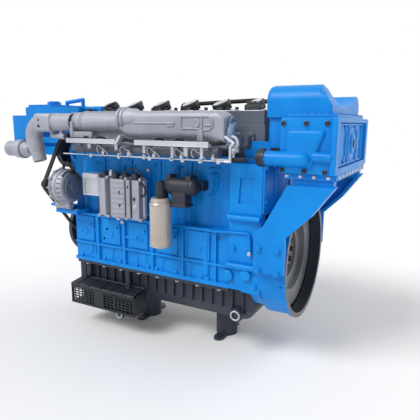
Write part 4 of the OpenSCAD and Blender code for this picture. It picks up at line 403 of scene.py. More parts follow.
def duct_ring(x, inset):
    """The hood's cross outline at x, moved in near its front end."""
    cut = near_top - max(0, x - slant_start) * (near_top - valley_z) / (duct_end - slant_start)
    r = lobe_r - inset
    near_arc = [(near_y + r * cos(a), min(near_top - lobe_r + r * sin(a), cut))
                for a in (radians(180 - 9 * k) for k in range(15))]
    far_arc = [(far_y + r * cos(a), far_top - lobe_r + r * sin(a))
               for a in (radians(126 - 9 * k) for k in range(15))]
    (y0, z0), (y1, z1) = near_arc[-1], far_arc[0]
    lowest = 2 * (valley_z - inset) - (z0 + z1) / 2
    valley = []
    for t in (k / 8 for k in range(1, 8)):
        z = (1 - t) ** 2 * z0 + 2 * t * (1 - t) * lowest + t * t * z1
        valley.append(((1 - t) * y0 + t * y1, min(z, cut) if t < 0.5 else z))
    line = [(near_y - r + 6, duct_base), *near_arc, *valley, *far_arc, (far_y + r - 6, duct_base)]
    return [(x, y, z) for y, z in line]


hood = bmesh.new()
nose = [(duct_front + x, inset) for x, inset in ((0, 16), (2, 9), (6, 4), (13, 1), (22, 0))]
slant = [(slant_start + x, 0) for x in (0, 8, 26, 44)]
skin(hood, [duct_ring(x, inset) for x, inset in (*nose, *slant, (duct_end - 2, 0), (duct_end, 3))])
box(hood, (-24, 160), (-core_y, core_y), (602, 614), 3, 6)
slab(hood, "z", rounded([(-109, -238), (-26, -240), (-26, 245), (-109, 240)], 26, 6), 486, 604, 1)
turned(hood, (-68, near_y, 486), upward, [(0, 40), (3, 43.5), (176, 43.5)], 40)
bolts(hood, [(x, y, 613.5) for x in range(-10, 158, 27) for y in (-256, 256)], upward, 11, 5)
bolts(hood, [(151, y, 613.5) for y in range(-225, 256, 48)], upward, 11, 5)
piece("cooler_air_hood", hood, "engine_paint", hides="cooler_duct")

# Intake manifold: one sand cast aluminium piece from the round front tube to the box over the ports.
# The cast beads on its face are raised frames for plates that this engine doesn't carry.
dress("cast_aluminium", "sand cast aluminium", "#A9ABB6", "#989AA8", "#C4C6CE", 6, 0.5, 0.52, metallic=0.35)


def squircle(x, middle_y, middle_z, half_y, half_z, corner):
    """A rounded rectangle across the engine at x."""
    steps = 7
    corner = min(corner, half_y, half_z)
    line = []
    for sy, sz, a0 in ((1, 1, 0), (-1, 1, 90), (-1, -1, 180), (1, -1, 270)):
        for a in (radians(a0 + 90 * k / steps) for k in range(steps + 1)):
            line.append((x, middle_y + sy * (half_y - corner) + corner * cos(a),
                         middle_z + sz * (half_z - corner) + corner * sin(a)))
    return line


def beads(bm, axis, level, paths, radius, bend, sides):
    """Cast beads along paths on a flat face, which stands at a level of the axis."""
    for path in paths:
        tube(bm, [plane_of[axis](u, v, level) for u, v in path], radius, bend, sides)


manifold = bmesh.new()
tube_y, tube_z = -279, 578
# (x, middle y, middle z, half width, half height, corner)
stations = [(x, tube_y, tube_z, r, r, r) for x, r in ((-1066, 42), (-1064, 45), (-1060, 46), (-800, 46), (-780, 46))]
stations += [(-765, -275, 574, 50, 52, 44), (-745, -270, 570.5, 55, 56.5, 30), (-735, -270, 570.5, 55, 56.5, 27),
             (-360, -270, 570.5, 55, 56.5, 27), (-320, -270, 567, 55, 58, 27), (-292, -270, 563.5, 55, 63.5, 26),
             (-276, -270, 560, 54.5, 60, 25), (-264, -270, 556, 53.5, 56, 24), (-258, -270, 553, 51, 53, 22),
             (-256, -270, 552, 46, 49, 20)]
skin(manifold, [squircle(*s) for s in stations])
# runners to the head, and the cast web that ties tube and box
for x in (-302, -412, -578, -744, -910, -1010):
    box(manifold, span(x, 38), (tube_y, -157), (480, 534), 4, 12)
    box(manifold, span(x, 46), (-170, -157), (474, 542), 2, 8)
box(manifold, (-1062, -300), (-276, -216), (486, 560), 4, 10)
# collar round the joint of tube and box: two ring flanges with a boss inside
for x, profile in ((-782, [(0, 45), (1, 48), (4, 50), (12, 50), (14, 48.5), (15, 44)]),
                   (-763, [(0, 44), (1, 48), (4, 50), (12, 50), (14.5, 48.5), (15, 45)]),
                   (-771, [(0, 44), (70, 42), (92, 30), (100, 12)])):
    turned(manifold, (x, -291, 597), aft, profile, 40)
beads(manifold, "y", -326.5, (
    [(-450, 604), (-352, 604), (-352, 556), (-450, 556), (-450, 604)],
    [(-346, 604), (-322, 604), (-304, 590), (-303, 566), (-318, 551), (-352, 551)],
    [(-340, 570), (-309, 570)], [(-690, 577), (-482, 577)], [(-520, 566), (-486, 566)],
    [(-364, 551), (-350, 540), (-350, 506)], [(-375, 556), (-368, 551), (-368, 520), (-372, 508)]), 3.8, 7, 8)
slab(manifold, "y", oblong(-366, -348, 504, 553, 5), -324, -330, 2)
turned(manifold, (-380, -324, 578), near, [(0, 19), (4.5, 18.5), (5, 17.5), (5, 9), (3.2, 8)], 28)
turned(manifold, (-312, -324, 586), near, [(0, 5), (3, 4.5), (3.5, 3)], 14)
for x in (-1052, -1000, -860, -700, -540):
    turned(manifold, (x, -250, 618 if x > -760 else 612), (0, -0.35, 1), [(0, 13), (9, 12), (10, 10)], 20)
# clamps that hold the front tube, and the bracket plate behind the tray
for x in (-1018, -1008):
    turned(manifold, (x, tube_y, tube_z), aft, [(0, 46.5), (0.5, 48.5), (5.5, 48.5), (6, 46.5)], 40)
box(manifold, (-1066, -1046), (-332, -290), (508, 582), 2, 5)
box(manifold, (-1046, -930), (-330, -322), (508, 536), 2, 4)
piece("cast_intake_manifold", manifold, "cast_aluminium", hides="intake_manifold")

# Manifold's end cover: a pressed disc in dull blue on a black rubber seal, with a drain stub below.
# Sheet steel, sprayed before it was fitted, so its blue is another one than the engine's.
dress("capped_blue", "dusty blue enamel", "#6E8CA8", "#5F7C98", "#9AB0C4", 7, 0.3, 0.45)
dress("black_rubber", "moulded black rubber", "#1B1C20", "#131417", "#34363C", 5, 0.5, 0.7)
end_cover = bmesh.new()
turned(end_cover, (-256, -258, 570), aft, [
    (0, 30), (0.5, 35), (2, 36), (7, 36), (9, 34), (10, 30), (10.5, 24), (8, 22), (8, 14), (11, 13), (23, 12),
    (24, 10)], 36)
tube(end_cover, [(-239, -300, 502), (-239, -300, 548), (-246, -280, 566)], 15, 14, 20)
piece("manifold_end_cover", end_cover, "capped_blue", hides="manifold_end_cap")
seal = bmesh.new()
turned(seal, (-257, -258, 570), aft, [(0, 36), (0.5, 38), (3, 38), (3.5, 36)], 36)
piece("end_cover_seal", seal, "black_rubber")

# Rear port's elbow: the last runner turns under the manifold's end.
# Grey iron like the head and the exhaust manifold, bolted to the head with a flat flange.
dress("head_iron", "bare cast iron", "#666C7A", "#585D6A", "#8A8C94", 6, 0.6, 0.55, metallic=0.2)
elbow = bmesh.new()
box(elbow, (-299, -194), (-157, -168), (474, 542), 2, 8, "y")
box(elbow, (-288, -206), (-160, -204), (482, 534), 8, 16, "y")
box(elbow, (-300, -226), (-196, -228), (484, 530), 6, 14, "y")
bolts(elbow, [(x, -167.5, z) for x in (-290, -203) for z in (483, 533)], near, 12, 6)
piece("rear_port_elbow", elbow, "head_iron")

# Rocker cover's top: bright strip along the near edge with black screws, injector caps, handle and sensor block.
# The caps are moulded nylon cups with a pale glossy lid, each leaning with its injector.
dress("zinc_steel", "zinc plated steel", "#C9CCD4", "#B8BBC6", "#E2E4E8", 9, 0.2, 0.34, metallic=0.6)
dress("black_plastic", "moulded black nylon", "#1E2430", "#171B25", "#3C4350", 5, 0.3, 0.5)
pale_lid = metal_surface("pale glossy nylon", "#C6CAD2", "#B4B8C2", "#E0E2E8", 12, 0.1, 0.2, coat=0.3)
cover_top, pitch = 630, 166
strip = bmesh.new()
box(strip, (-1152, -158), (-148, -122), (cover_top - 0.5, cover_top + 3), 1, 3)
for x in range(-1130, -150, 121):
    box(strip, span(x, 9), (-150, -112), (cover_top + 2, cover_top + 5), 1, 4)
piece("rocker_cover_strip", strip, "zinc_steel")
screws = bmesh.new()
for x in (-1120, -1010, -835, -725, -650, -597, -547, -440, -330, -290):
    turned(screws, (x, -134, cover_top + 2), upward, [(0, 11), (3, 11), (4, 8), (14, 8), (15, 6.5)], 18)
cover_ribs = bmesh.new()
for i in range(5):
    box(cover_ribs, span(-329 - pitch * i, 7), (-112, 136), (cover_top - 0.5, cover_top + 7), 2, 6)
bolts(cover_ribs, [(x, 138, cover_top) for x in range(-1130, -170, 90)], upward, 13, 7)
box(cover_ribs, (-1148, -164), (118, 126), (cover_top - 0.5, cover_top + 4), 1.5, 3)
piece("rocker_cover_ribs", cover_ribs, "head_iron")
fittings, lids = bmesh.new(), bmesh.new()
axis = Matrix.Rotation(radians(-14), 3, "Y") @ Matrix.Rotation(radians(20), 3, "X") @ Vector(upward)
for i in range(6):
    x = -246 - pitch * i
    foot = Vector((x, -10, cover_top))
    turned(fittings, (x, -10, cover_top - 0.5), upward, [(0, 44), (5, 44), (8, 40), (12, 39)], 36)
    turned(fittings, foot + axis * 2, axis, [
        (0, 30), (6, 36), (18, 40), (26, 41), (27, 44), (40, 44.5), (44, 43), (45.5, 38)], 36)
    for place in circle(foot + axis * 6, *crosswise(axis), 38.5, 12):
        turned(fittings, place, axis, [(0, 3), (2, 4), (34, 4), (36, 3)], 8)
    turned(lids, foot + axis * 44.5, axis, [
        (0, 37), (2.5, 37), (4.5, 34), (5.5, 26), (4.5, 24), (4.5, 12), (7, 11), (8, 8)], 36)
    box(fittings, span(x, 16), (-64, -36), (cover_top - 0.5, cover_top + 20), 3, 5)
# handle: a bent strap with an open middle, and the sensor block at the rear
tube(fittings, [(-1052, -96, 632), (-1044, -96, 658), (-980, -96, 678), (-962, -96, 662), (-956, -96, 632)], 6, 12, 10)
tube(fittings, [(-1046, -96, 655), (-1000, -96, 640), (-958, -96, 636)], 5, 12, 10)
box(fittings, (-258, -186), (-132, -76), (cover_top - 0.5, cover_top + 26), 3, 6)
box(fittings, (-250, -206), (-126, -82), (cover_top + 25, cover_top + 40), 3, 5)
piece("injector_caps_and_handle", fittings, "black_plastic", hides="cover_fittings")
piece("rocker_cover_screws", screws, "black_plastic")
piece("injector_cap_lids", lids, "zinc_steel", pale_lid)


# Charge air cooler: a cast box with a wide rim at the rear and a recessed panel behind it.
# Cast stiffening beads and a hub stand on the panel, small zinc bolts hold the base to the brackets, and a nylon
# clamp closes on the air pipe.
def ring(bm, middle, axis, major, minor, sides=24):
    """A round ring of round wire."""
    outward = circle((0, 0, 0), *crosswise(axis), 1, sides)
    skin(bm, [circle(Vector(middle) + out * major, out, axis, minor, 8) for out in outward], joined=True)


def frame_bar(bm, outer, inner, start, end, soft):
    """A flat frame between two outlines of equally many points, from start to end along x."""
    rim = end - soft
    lines = ((outer, start), (outer, rim), (shrunk(outer, soft), end),
             (shrunk(inner, -soft), end), (inner, rim), (inner, start))
    skin(bm, [[(x, p.x, p.y) for p in line] for line, x in lines], joined=True)


dress("black_enamel", "satin black enamel", "#2A3142", "#222838", "#4A4F60", 7, 0.4, 0.42)
panel_x, hub_y, hub_z = 159, 6, 502
cooler = bmesh.new()
box(cooler, (-24, 160), (-core_y, core_y), (398, 601), 3, 4)
for side in (-1, 1):
    slab(cooler, "y", oblong(-35, 160, 397, 601, 5), side * 262, side * 281, 2)
box(cooler, (-24, 176), (-281, 281), (375, 399), 2, 5)
frame_bar(cooler, oblong(-313, 313, 397, 602, 6), oblong(-268, 268, 419, 584, 8), 157, 176, 2.5)
frame_bar(cooler, oblong(-266, 266, 421, 582, 8), oblong(-256, 256, 430, 573, 8), 158, 166, 2.5)
beads(cooler, "x", panel_x, (
    [(-232, 568), (-236, 540), (-214, 522), (-232, 500), (-212, 474), (-228, 434)],
    [(-128, 570), (-92, 545), (-112, 505), (-96, 462), (-132, 434)],
    [(66, 570), (104, 558), (122, 530), (96, 502), (122, 470), (104, 434)],
    [(206, 570), (226, 522), (208, 500), (226, 468), (214, 434)],
    [(-58, 572), (-72, 545)], [(-60, 434), (-74, 462)]), 8, 20, 12)
turned(cooler, (panel_x, hub_y, hub_z), aft, [
    (0, 66), (4, 65), (6, 60), (6.5, 44), (11, 42), (14, 38), (14, 22), (6, 20)], 48)
for z in (505, 478):
    turned(cooler, (panel_x, -244, z), aft, [(0, 9), (6, 8.5), (8, 6)], 18)
piece("charge_cooler_box", cooler, "engine_paint", hides="charge_air_cooler")
hub_plug = bmesh.new()
turned(hub_plug, (panel_x + 4, hub_y, hub_z), aft, [(0, 19), (4, 19), (6, 16), (6.5, 9), (12, 8), (13, 5)], 28)
dark_red = metal_surface("oxide red primer", "#43303A", "#33242C", "#6A5058", 6, 0.4, 0.5)
piece("cooler_hub_plug", hub_plug, "engine_paint", dark_red)
base_bolts = bmesh.new()
for side in (-1, 1):
    bolts(base_bolts, [(x, side * 280.5, 386) for x in (-10, 42, 94, 146)], (0, side, 0), 12, 6)
bolts(base_bolts, [(175.5, y, 386) for y in range(-240, 241, 60)], aft, 12, 6)
piece("cooler_base_bolts", base_bolts, "zinc_steel")
cover_screws, bracket_bolts = bmesh.new(), bmesh.new()
for side in (-1, 1):
    for x, z in cover_places:
        turned(cover_screws, (x, side * 298.5, z), (0, side, 0), [
            (0, 10), (2, 10), (2.8, 7.4), (8.4, 7.2), (9.5, 6), (9.5, 3.8), (6, 3.4)], 18)
    for x, z in ((-106, 91), (-106, 0), (-29, 91), (-29, 0)):
        bolts(bracket_bolts, [(x, side * 301.5, z)], (0, side, 0), 24, 12, 1.3)
        turned(bracket_bolts, (x, side * 313, z), (0, side, 0), [(0, 9.5), (2, 9), (3, 7)], 18)
piece("cooler_cover_screws", cover_screws, "black_enamel", hides="cooler_bolts")
piece("bracket_bolts", bracket_bolts, "engine_paint")
nozzle = bmesh.new()
turned(nozzle, (-116, pipe_y, pipe_z), aft, [(0, 26), (0.5, 30), (6, 33), (20, 33), (24, 30.5), (24, 28.4)], 36)
turned(nozzle, (-112, pipe_y - 30, pipe_z), near, [(0, 8), (6, 8), (7, 6)], 14)
piece("cooler_pipe_clamp", nozzle, "black_plastic")

# Cylinder block: cast beads, bosses, plugs and drillings on both sides of the skirt and on the near water jacket.
# They are cast with the block; the plugs are screwed in and painted over.
relief = bmesh.new()
skirt, jacket, flank = -237, -205, -261
for side in (-1, 1):
    beads(relief, "y", -side * skirt, (
        [(-1126, -22), (-920, -29), (-855, -32)], [(-904, -27), (-910, -98)], [(-804, -44), (-754, -40), (-760, -101)],
        [(-648, -30), (-602, -43), (-614, -106)], [(-602, -43), (-500, -42), (-407, -36)], [(-453, -42), (-460, -107)],
        [(-1020, -26), (-1020, -96)], [(-700, 20), (-704, -88)]), 5, 10, 10)
    for x, low, high, wide in ((-376, -88, 120, 17), (-514, -40, 98, 11), (-480, -60, 128, 9), (-838, -66, 24, 10),
                               (-1046, -80, 96, 12), (-660, -30, 110, 9), (-432, -20, 110, 7)):
        tall = high - low
        turned(relief, (x, side * (-skirt - 4), low), upward,
               [(0, wide * 0.5), (6, wide), (tall - 6, wide), (tall, wide * 0.5)], 20)
    for x, z in ((-1113, -96), (-1015, -100), (-965, -98), (-865, -96), (-763, -98), (-695, -98), (-647, -98),
                 (-539, -98), (-501, -99), (-407, -98), (-371, -99)):
        turned(relief, (x, side * (-skirt - 1), z), (0, side, 0.25), [(0, 13), (6, 12), (9, 9), (9.5, 7)], 18)
# the ringed boss with its arm, small bosses and screwed plugs
turned(relief, (-733, skirt + 1, 39), near, [(0, 24), (8, 22), (12, 19), (12, 13), (7, 12)], 30)
tube(relief, [(-829, skirt - 3, 33), (-790, skirt - 3, 36), (-752, skirt - 4, 38)], 8, 20, 12)
for x, z, size in ((-829, 34, 15), (-374, 72, 19), (-934, 60, 9), (-1012, 44, 9), (-580, 122, 8), (-1090, 30, 10),
                   (-955, 10, 8)):
    turned(relief, (x, skirt + 1, z), near, [(0, size), (7, size * 0.92), (9, size * 0.75)], 24)
skirt_bolts = ((-520, 126), (-490, 128), (-610, 118), (-1126, 118))
bolts(relief, [(x, skirt + 0.5, z) for x, z in skirt_bolts], near, 13, 6)
# jacket: thin beads round the core plugs and the tapped bosses
beads(relief, "y", jacket, (
    [(-675, 388), (-661, 381)], [(-666, 384), (-669, 318)], [(-543, 386), (-520, 384)], [(-541, 384), (-539, 350)],
    [(-334, 392), (-336, 343), (-350, 300), (-372, 268), (-400, 262)], [(-1037, 382), (-930, 386), (-932, 329)],
    [(-847, 379), (-759, 382)], [(-847, 379), (-850, 350)], [(-408, 386), (-346, 389)], [(-402, 361), (-340, 365)],
    [(-405, 386), (-405, 320)]), 4, 12, 8)
for x, z in ((-668, 386), (-541, 384), (-335, 388), (-336, 345), (-930, 386), (-760, 382), (-669, 320)):
    turned(relief, (x, jacket + 2, z), near, [(0, 10), (7, 9), (9, 7), (9, 4), (5, 3.6)], 18)
# gear case flank
for x, z in ((-262, -59), (-179, -46)):
    turned(relief, (x, flank + 4, z), near, [(0, 24), (6, 24), (9, 19.2)], 24)
beads(relief, "y", flank + 2, ([(-344, 124), (-250, 132), (-168, 136), (-162, 110), (-160, 44)],), 5, 10, 10)
bolts(relief, [(x, flank + 5, z) for x, z in ((-140, 20), (-140, -90), (-238, 64))], near, 15, 7)
piece("block_side_castings", relief, "engine_paint")
drillings = bmesh.new()
for x, z in ((-1082, 108), (-982, 91), (-785, 74), (-316, 92)):
    turned(drillings, (x, skirt + 0.5, z), near, [(0, 9.5), (2.5, 9.5), (3, 8.6), (3, 6.5), (1, 6)], 20)
piece("block_drilling_plugs", drillings, "black_enamel")
pale_bolts = bmesh.new()
for x, y, z, height in ((-162, flank - 2, 50, 8), (-707, jacket, 361, 6), (-823, -263, 112, 7)):
    bolts(pale_bolts, [(x, y, z)], near, 14, height)
piece("block_zinc_bolts", pale_bolts, "zinc_steel")

# Gear case: a flat iron plate bolted over the back of the gears, above the flywheel housing.
# Painted with the engine; its bolts stand round the edge.
gear_cover = bmesh.new()
gear_outline = [(-247, 214), (204, 214), (204, 404), (160, 417), (-247, 417)]
slab(gear_cover, "x", rounded(gear_outline, 12, 5), -118.2, -109, 2)
bolts(gear_cover, [(-109.3, y, z) for y, z in (
    (-236, 405), (-150, 405), (-60, 405), (30, 405), (120, 405), (192, 396), (193, 320), (-236, 330), (-236, 268))],
    aft, 15, 8)
for y in (-140, 60):
    box(gear_cover, (-110, -104), span(y, 4), (282, 396), 1.5, 3, "x")
piece("gear_case_rear_cover", gear_cover, "engine_paint")


# Flywheel: ten hexagon bolts hold its hub to the crankshaft and turn with it.
# High tensile steel, blackened in a hot bath.
def spread(count, y, z, radius, first=0):
    """Places (y, z) spread evenly on a circle across the engine, the first at an angle in degrees."""
    angles = (radians(first) + 2 * pi * k / count for k in range(count))
    return [(y + radius * cos(a), z + radius * sin(a)) for a in angles]


hub_bolts = bmesh.new()
bolts(hub_bolts, [(-96.5, y, z) for y, z in spread(10, 0, 0, 76)], aft, 24, 13, 1.25)
black_oxide = metal_surface("black oxide on steel", "#1B1C20", "#131417", "#34363C", 5, 0.5, 0.7)
piece("flywheel_bolts", hub_bolts, "black_enamel", black_oxide, body="crank")

# Control unit: flat die cast slabs side by side on the pale carrier frame, with black joints between them.
# Its plugs and the loop of cable sit along the upper and right edges.
unit = bmesh.new()
unit_back, unit_face = -262, -300
for x, face in (((-928, -890), 0), ((-858, -774), -1), ((-764, -742), -4), ((-734, -694), 2)):
    box(unit, x, (unit_back, unit_face + face), (144, 322), 2.5, 4, "y")
for z in range(160, 310, 24):
    box(unit, (-850, -782), (unit_face + 1, unit_face - 3), (z, z + 12), 1, 2, "y")
for x in (-934, -880, -768, -688):
    for z in (140, 326):
        turned(unit, (x, unit_back - 6, z), near, [(0, 9), (30, 8), (32, 6)], 16)
piece("control_unit_slabs", unit, "cast_aluminium", hides="control_unit")
joints = bmesh.new()
for x in ((-774, -764), (-742, -734)):
    box(joints, x, (unit_back, unit_face + 5), (146, 320), 1, 2, "y")
# black bars set into the carrier frame's slots: painted shade standing for the openings
for z in range(150, 318, 17):
    box(joints, (-944, -930), (unit_back - 4, unit_face + 6), (z, z + 9), 1.5, 2, "y")
for x, z in ((-803, 262), (-803, 200), (-720, 236), (-752, 290)):
    box(joints, span(x, 4), (unit_face, unit_face - 4.5), span(z, 7), 1, 1.5, "y")
for x, wide in ((-905, 13), (-836, 12), (-780, 15), (-724, 16)):
    box(joints, span(x, wide), (unit_back + 2, unit_face + 6), (322, 346), 2, 3, "y")
    turned(joints, (x, -281, 344), upward, [(0, wide * 0.7), (9, wide * 0.7), (10, wide * 0.5)], 16)
tube(joints, [(-694, -284, 306), (-672, -286, 300), (-664, -284, 276), (-674, -282, 252), (-698, -282, 250)], 5, 22, 10)
tube(joints, [(-724, -281, 352), (-712, -284, 366), (-690, -284, 352), (-686, -282, 330)], 4, 14, 8)
tube(joints, [(-780, -281, 352), (-760, -286, 372), (-726, -284, 372), (-700, -282, 360)], 4, 14, 8)
piece("control_unit_plugs_and_cables", joints, "black_plastic", hides="control_unit_plugs")
sensors = bmesh.new()
turned(sensors, (-868, -278, 334), upward, [(0, 11), (14, 11), (15, 7), (27, 7), (28, 5)], 20)
turned(sensors, (-716, -290, 200), near, [(0, 12), (8, 12), (9, 8), (14, 8), (15, 5)], 20)
bolts(sensors, [(-705, -291, 158)], near, 12, 6)
bolts(sensors, [(-823, -287, 134)], near, 15, 9)
piece("control_unit_sensors", sensors, "zinc_steel")

# Alternator: a die cast shell with two thick rims, bolt lugs, air slots drawn as black strips of painted shade, and a
# long nose for the pulley's shaft.
# Its rear cap carries a dark disc, and the cables loop over the top to the terminals.
alt_y, alt_z = -300, 267
rear_disc = bmesh.new()
turned(rear_disc, (-1086, alt_y, alt_z), aft, [
    (0, 62), (3, 63), (7, 60), (8, 55), (7, 52), (7, 30), (10, 28), (11, 20)], 44)
for y, z in spread(3, alt_y, alt_z, 42, 40):
    turned(rear_disc, (-1080, y, z), aft, [(0, 6), (4, 6), (5, 4)], 12)
slate = metal_surface("slate enamel on pressed steel", "#50607A", "#45536B", "#7C8CA4", 8, 0.3, 0.4)
piece("alternator_rear_disc", rear_disc, "capped_blue", slate)
cables = bmesh.new()
for points, size in (
        ([(-1150, -300, 352), (-1136, -306, 376), (-1108, -306, 374), (-1096, -300, 350), (-1092, -290, 330)], 4.5),
        ([(-1170, -290, 350), (-1150, -296, 384), (-1112, -300, 384), (-1088, -296, 356), (-1080, -286, 326),
          (-1074, -276, 300)], 4.5),
        ([(-1100, -360, 320), (-1090, -352, 340), (-1084, -330, 346), (-1082, -306, 336)], 4)):
    tube(cables, points, size, 16, 10)
for x, z in ((-1150, 344), (-1096, 342), (-1166, 344)):
    turned(cables, (x, -298, z), upward, [(0, 8), (8, 8), (10, 6)], 14)
piece("alternator_cables", cables, "black_rubber")
shell = bmesh.new()
turned(shell, (-1095, alt_y, alt_z), fore, [
    (0, 58), (0.5, 72), (3, 77), (8, 80.5), (36, 82), (37, 85.5), (52, 85.5), (53, 82), (68, 82), (69, 86.5),
    (76, 86.5), (78, 83), (84, 62), (90, 44), (118, 38), (120, 30), (137, 28), (139, 25), (139, 17), (48, 17)], 48)
for y, z in spread(12, alt_y, alt_z, 87):
    turned(shell, (-1164, y, z), fore, [(-6, 4), (-5, 5.5), (12, 5.5), (13, 4)], 10)
turned(shell, (-1192, -318, 170), aft, [(0, 12), (2, 15), (96, 15), (98, 12)], 24)
box(shell, (-1186, -1100), (-330, -296), (172, 204), 2, 6)
piece("alternator_shell", shell, "cast_aluminium", hides="alternator")
# black strips and studs where the air slots and vents are: painted shade standing for the openings
slot_shades = bmesh.new()
for y, z in spread(22, alt_y, alt_z, 78.6):
    tube(slot_shades, [(-1103, y, z), (-1127, y, z)], 3.6, 2, 8)
for y, z in spread(22, alt_y, alt_z, 53):
    turned(slot_shades, (-1179, y, z), fore, [(0, 4), (5, 4), (6, 3)], 8)
piece("alternator_slot_shades", slot_shades, "black_enamel")

# Leak-off line: banjo rings hang under the thin pipe, small clips hold it and thin wires come down from the trays.
# Bent zinc plated tube and wire, with a pale nylon drain pipe and a gripped lever at the rear end.
leak = bmesh.new()
for x, z in ((-767, 436), (-630, 434), (-489, 432), (-353, 430)):
    ring(leak, (x, -338, z), far, 8, 2.8)
    turned(leak, (x, -342, z), far, [(0, 3.5), (8, 3.5)], 10)
for x in (-859, -714, -578, -442, -296):
    z = 445 - (x + 908) * 0.0085  # the pipe falls gently to the rear
    box(leak, span(x, 7), (-330, -341), (z - 9, z + 8), 1.5, 2, "y")
    box(leak, span(x, 4), (-330, -337), (z + 6, z + 18), 1, 2, "y")
for x in (-880, -746, -600, -462, -380):
    tube(leak, [(x, -340, 478), (x + 10, -341, 466), (x + 32, -341, 458), (x + 44, -339, 444), (x + 52, -338, 436)],
         2.2, 10, 8)
    tube(leak, [(x - 6, -338, 476), (x - 14, -340, 464), (x - 10, -341, 450), (x - 2, -339, 442)], 2.2, 10, 8)
piece("leak_off_rings_and_wires", leak, "zinc_steel")
drain = bmesh.new()
tube(drain, [(-262, -306, 520), (-240, -306, 530), (-214, -304, 524), (-204, -302, 504), (-212, -301, 484)],
     6.5, 20, 14)
turned(drain, (-236, -303, 474), aft, [(0, 7), (6, 7), (7, 10), (24, 10), (25, 7), (34, 7)], 18)
turned(drain, (-222, -303, 440), upward, [(0, 5), (20, 5), (22, 9), (40, 9), (42, 6)], 16)
tube(drain, [(-296, -336, 440), (-258, -334, 438), (-226, -318, 438), (-222, -303, 444)], 3.5, 14, 10)
tube(drain, [(-262, -290, 500), (-230, -292, 494), (-212, -300, 480)], 4, 12, 10)
piece("drain_pipe_and_valve", drain, "zinc_steel", pale_lid)
grip = bmesh.new()
turned(grip, (-230, -316, 437), (1, 0, 0.06), [(0, 6), (2, 9), (62, 9), (66, 7), (70, 3)], 16)
tube(grip, [(-226, -314, 440), (-236, -300, 446), (-240, -262, 450)], 5, 14, 10)
piece("valve_lever_grip", grip, "black_rubber")

# Fuel filter: rolled rims on the canister. Breather: a moulded canister on a square stem with two lugs.
# The filter is drawn steel under lacquer, screwed to its head; the canister's right end is domed.
dress("filter_paint", "beige grey lacquer on drawn steel", "#BBB2A9", "#B0A79E", "#CEC6BE", 12, 0.15, 0.3,
      metallic=0.35)
filter_x, filter_y = -553, -330
rims = bmesh.new()
for z, r in ((52, 47.6), (62, 48), (234, 48), (244, 43.5)):
    ring(rims, (filter_x, filter_y, z), upward, r, 1.8, 48)
turned(rims, (filter_x, filter_y, 246), upward, [(0, 41), (1, 44), (7, 44.5), (8, 42), (14, 40), (16, 36)], 48)
piece("fuel_filter_rims", rims, "filter_paint")
breather = bmesh.new()
turned(breather, (-536, -300, 315), aft, [
    (0, 26), (3, 33), (14, 36), (20, 37), (22, 39), (26, 39), (28, 37), (118, 37), (120, 39), (124, 39), (126, 37),
    (138, 36), (146, 30), (152, 20), (154, 8)], 44)
box(breather, (-500, -430), (-330, -270), (232, 300), 3, 8)
box(breather, (-506, -424), (-334, -266), (228, 240), 2, 8)
for x in (-523, -423):
    box(breather, span(x, 13), (-318, -262), (336, 362), 3, 5)
    turned(breather, (x, -290, 360), upward, [(0, 8), (4, 8), (5, 6)], 14)
turned(breather, (filter_x, -300, 300), downward, [(0, 15), (2, 17), (36, 17), (38, 20), (46, 20)], 24)
box(breather, (-540, -380), (-268, -214), (296, 334), 2, 6)
piece("breather_canister", breather, "black_plastic", hides="breather_separator")

# Hoses: a smooth black rubber breather hose on top and the wide charge air hose on the far side.
# Each is pushed over a stub and held by its clamp.
hoses = bmesh.new()
tube(hoses, [(-690, 72, 629), (-690, 72, 669), (-292, 72, 684), (-184, 72, 672), (-132, 72, 622), (-112, 72, 622)],
     10, 30, 18)
tube(hoses, [(-380, 395, 560), (-300, 395, 560), (-170, 190, 636), (-112, 190, 636)], 30, 60, 32)
piece("rubber_hoses", hoses, "black_rubber", hides="hoses")

# Far side: rolled rims and hexagon ends on the two oil filters, band clamps and oil pipes on the turbocharger,
# and the sea water pump in cast bronze. The photograph doesn't show this side.
dress("pump_bronze", "cast bronze", "#9A7B3C", "#86692F", "#C4A45E", 6, 0.5, 0.45, metallic=0.7)
oil_rims = bmesh.new()
for x in (-980, -830):
    for z, r in ((-110, 52), (-98, 53.6), (66, 53.6), (76, 54)):
        ring(oil_rims, (x, 308, z), upward, r, 1.8, 48)
    turned(oil_rims, (x, 308, -119), downward, [(0, 17), (9, 17), (10, 14)], 6)
piece("oil_filter_rims", oil_rims, "filter_paint")
clamps = bmesh.new()
for x in (-601, -519):
    ring(clamps, (x, 364, 510), aft, 38, 5, 40)
    box(clamps, span(x, 5), (356, 372), (546, 562), 2, 3)
for x, y, z in ((-366, 395, 560), (-130, 190, 636)):
    for end in span(x, 6):
        ring(clamps, (end, y, z), aft, 31, 1.6, 40)
piece("far_side_clamps", clamps, "zinc_steel")
oil_pipes = bmesh.new()
tube(oil_pipes, [(-560, 364, 480), (-560, 360, 440), (-560, 300, 400), (-560, 240, 330), (-560, 204, 320)], 9, 26, 14)
tube(oil_pipes, [(-560, 364, 540), (-548, 350, 566), (-520, 270, 566), (-500, 200, 470), (-500, 190, 400)], 5, 26, 12)
turned(oil_pipes, (-560, 212, 320), near, [(0, 15), (10, 15), (12, 12)], 6)
piece("turbo_oil_pipes", oil_pipes, "black_enamel")

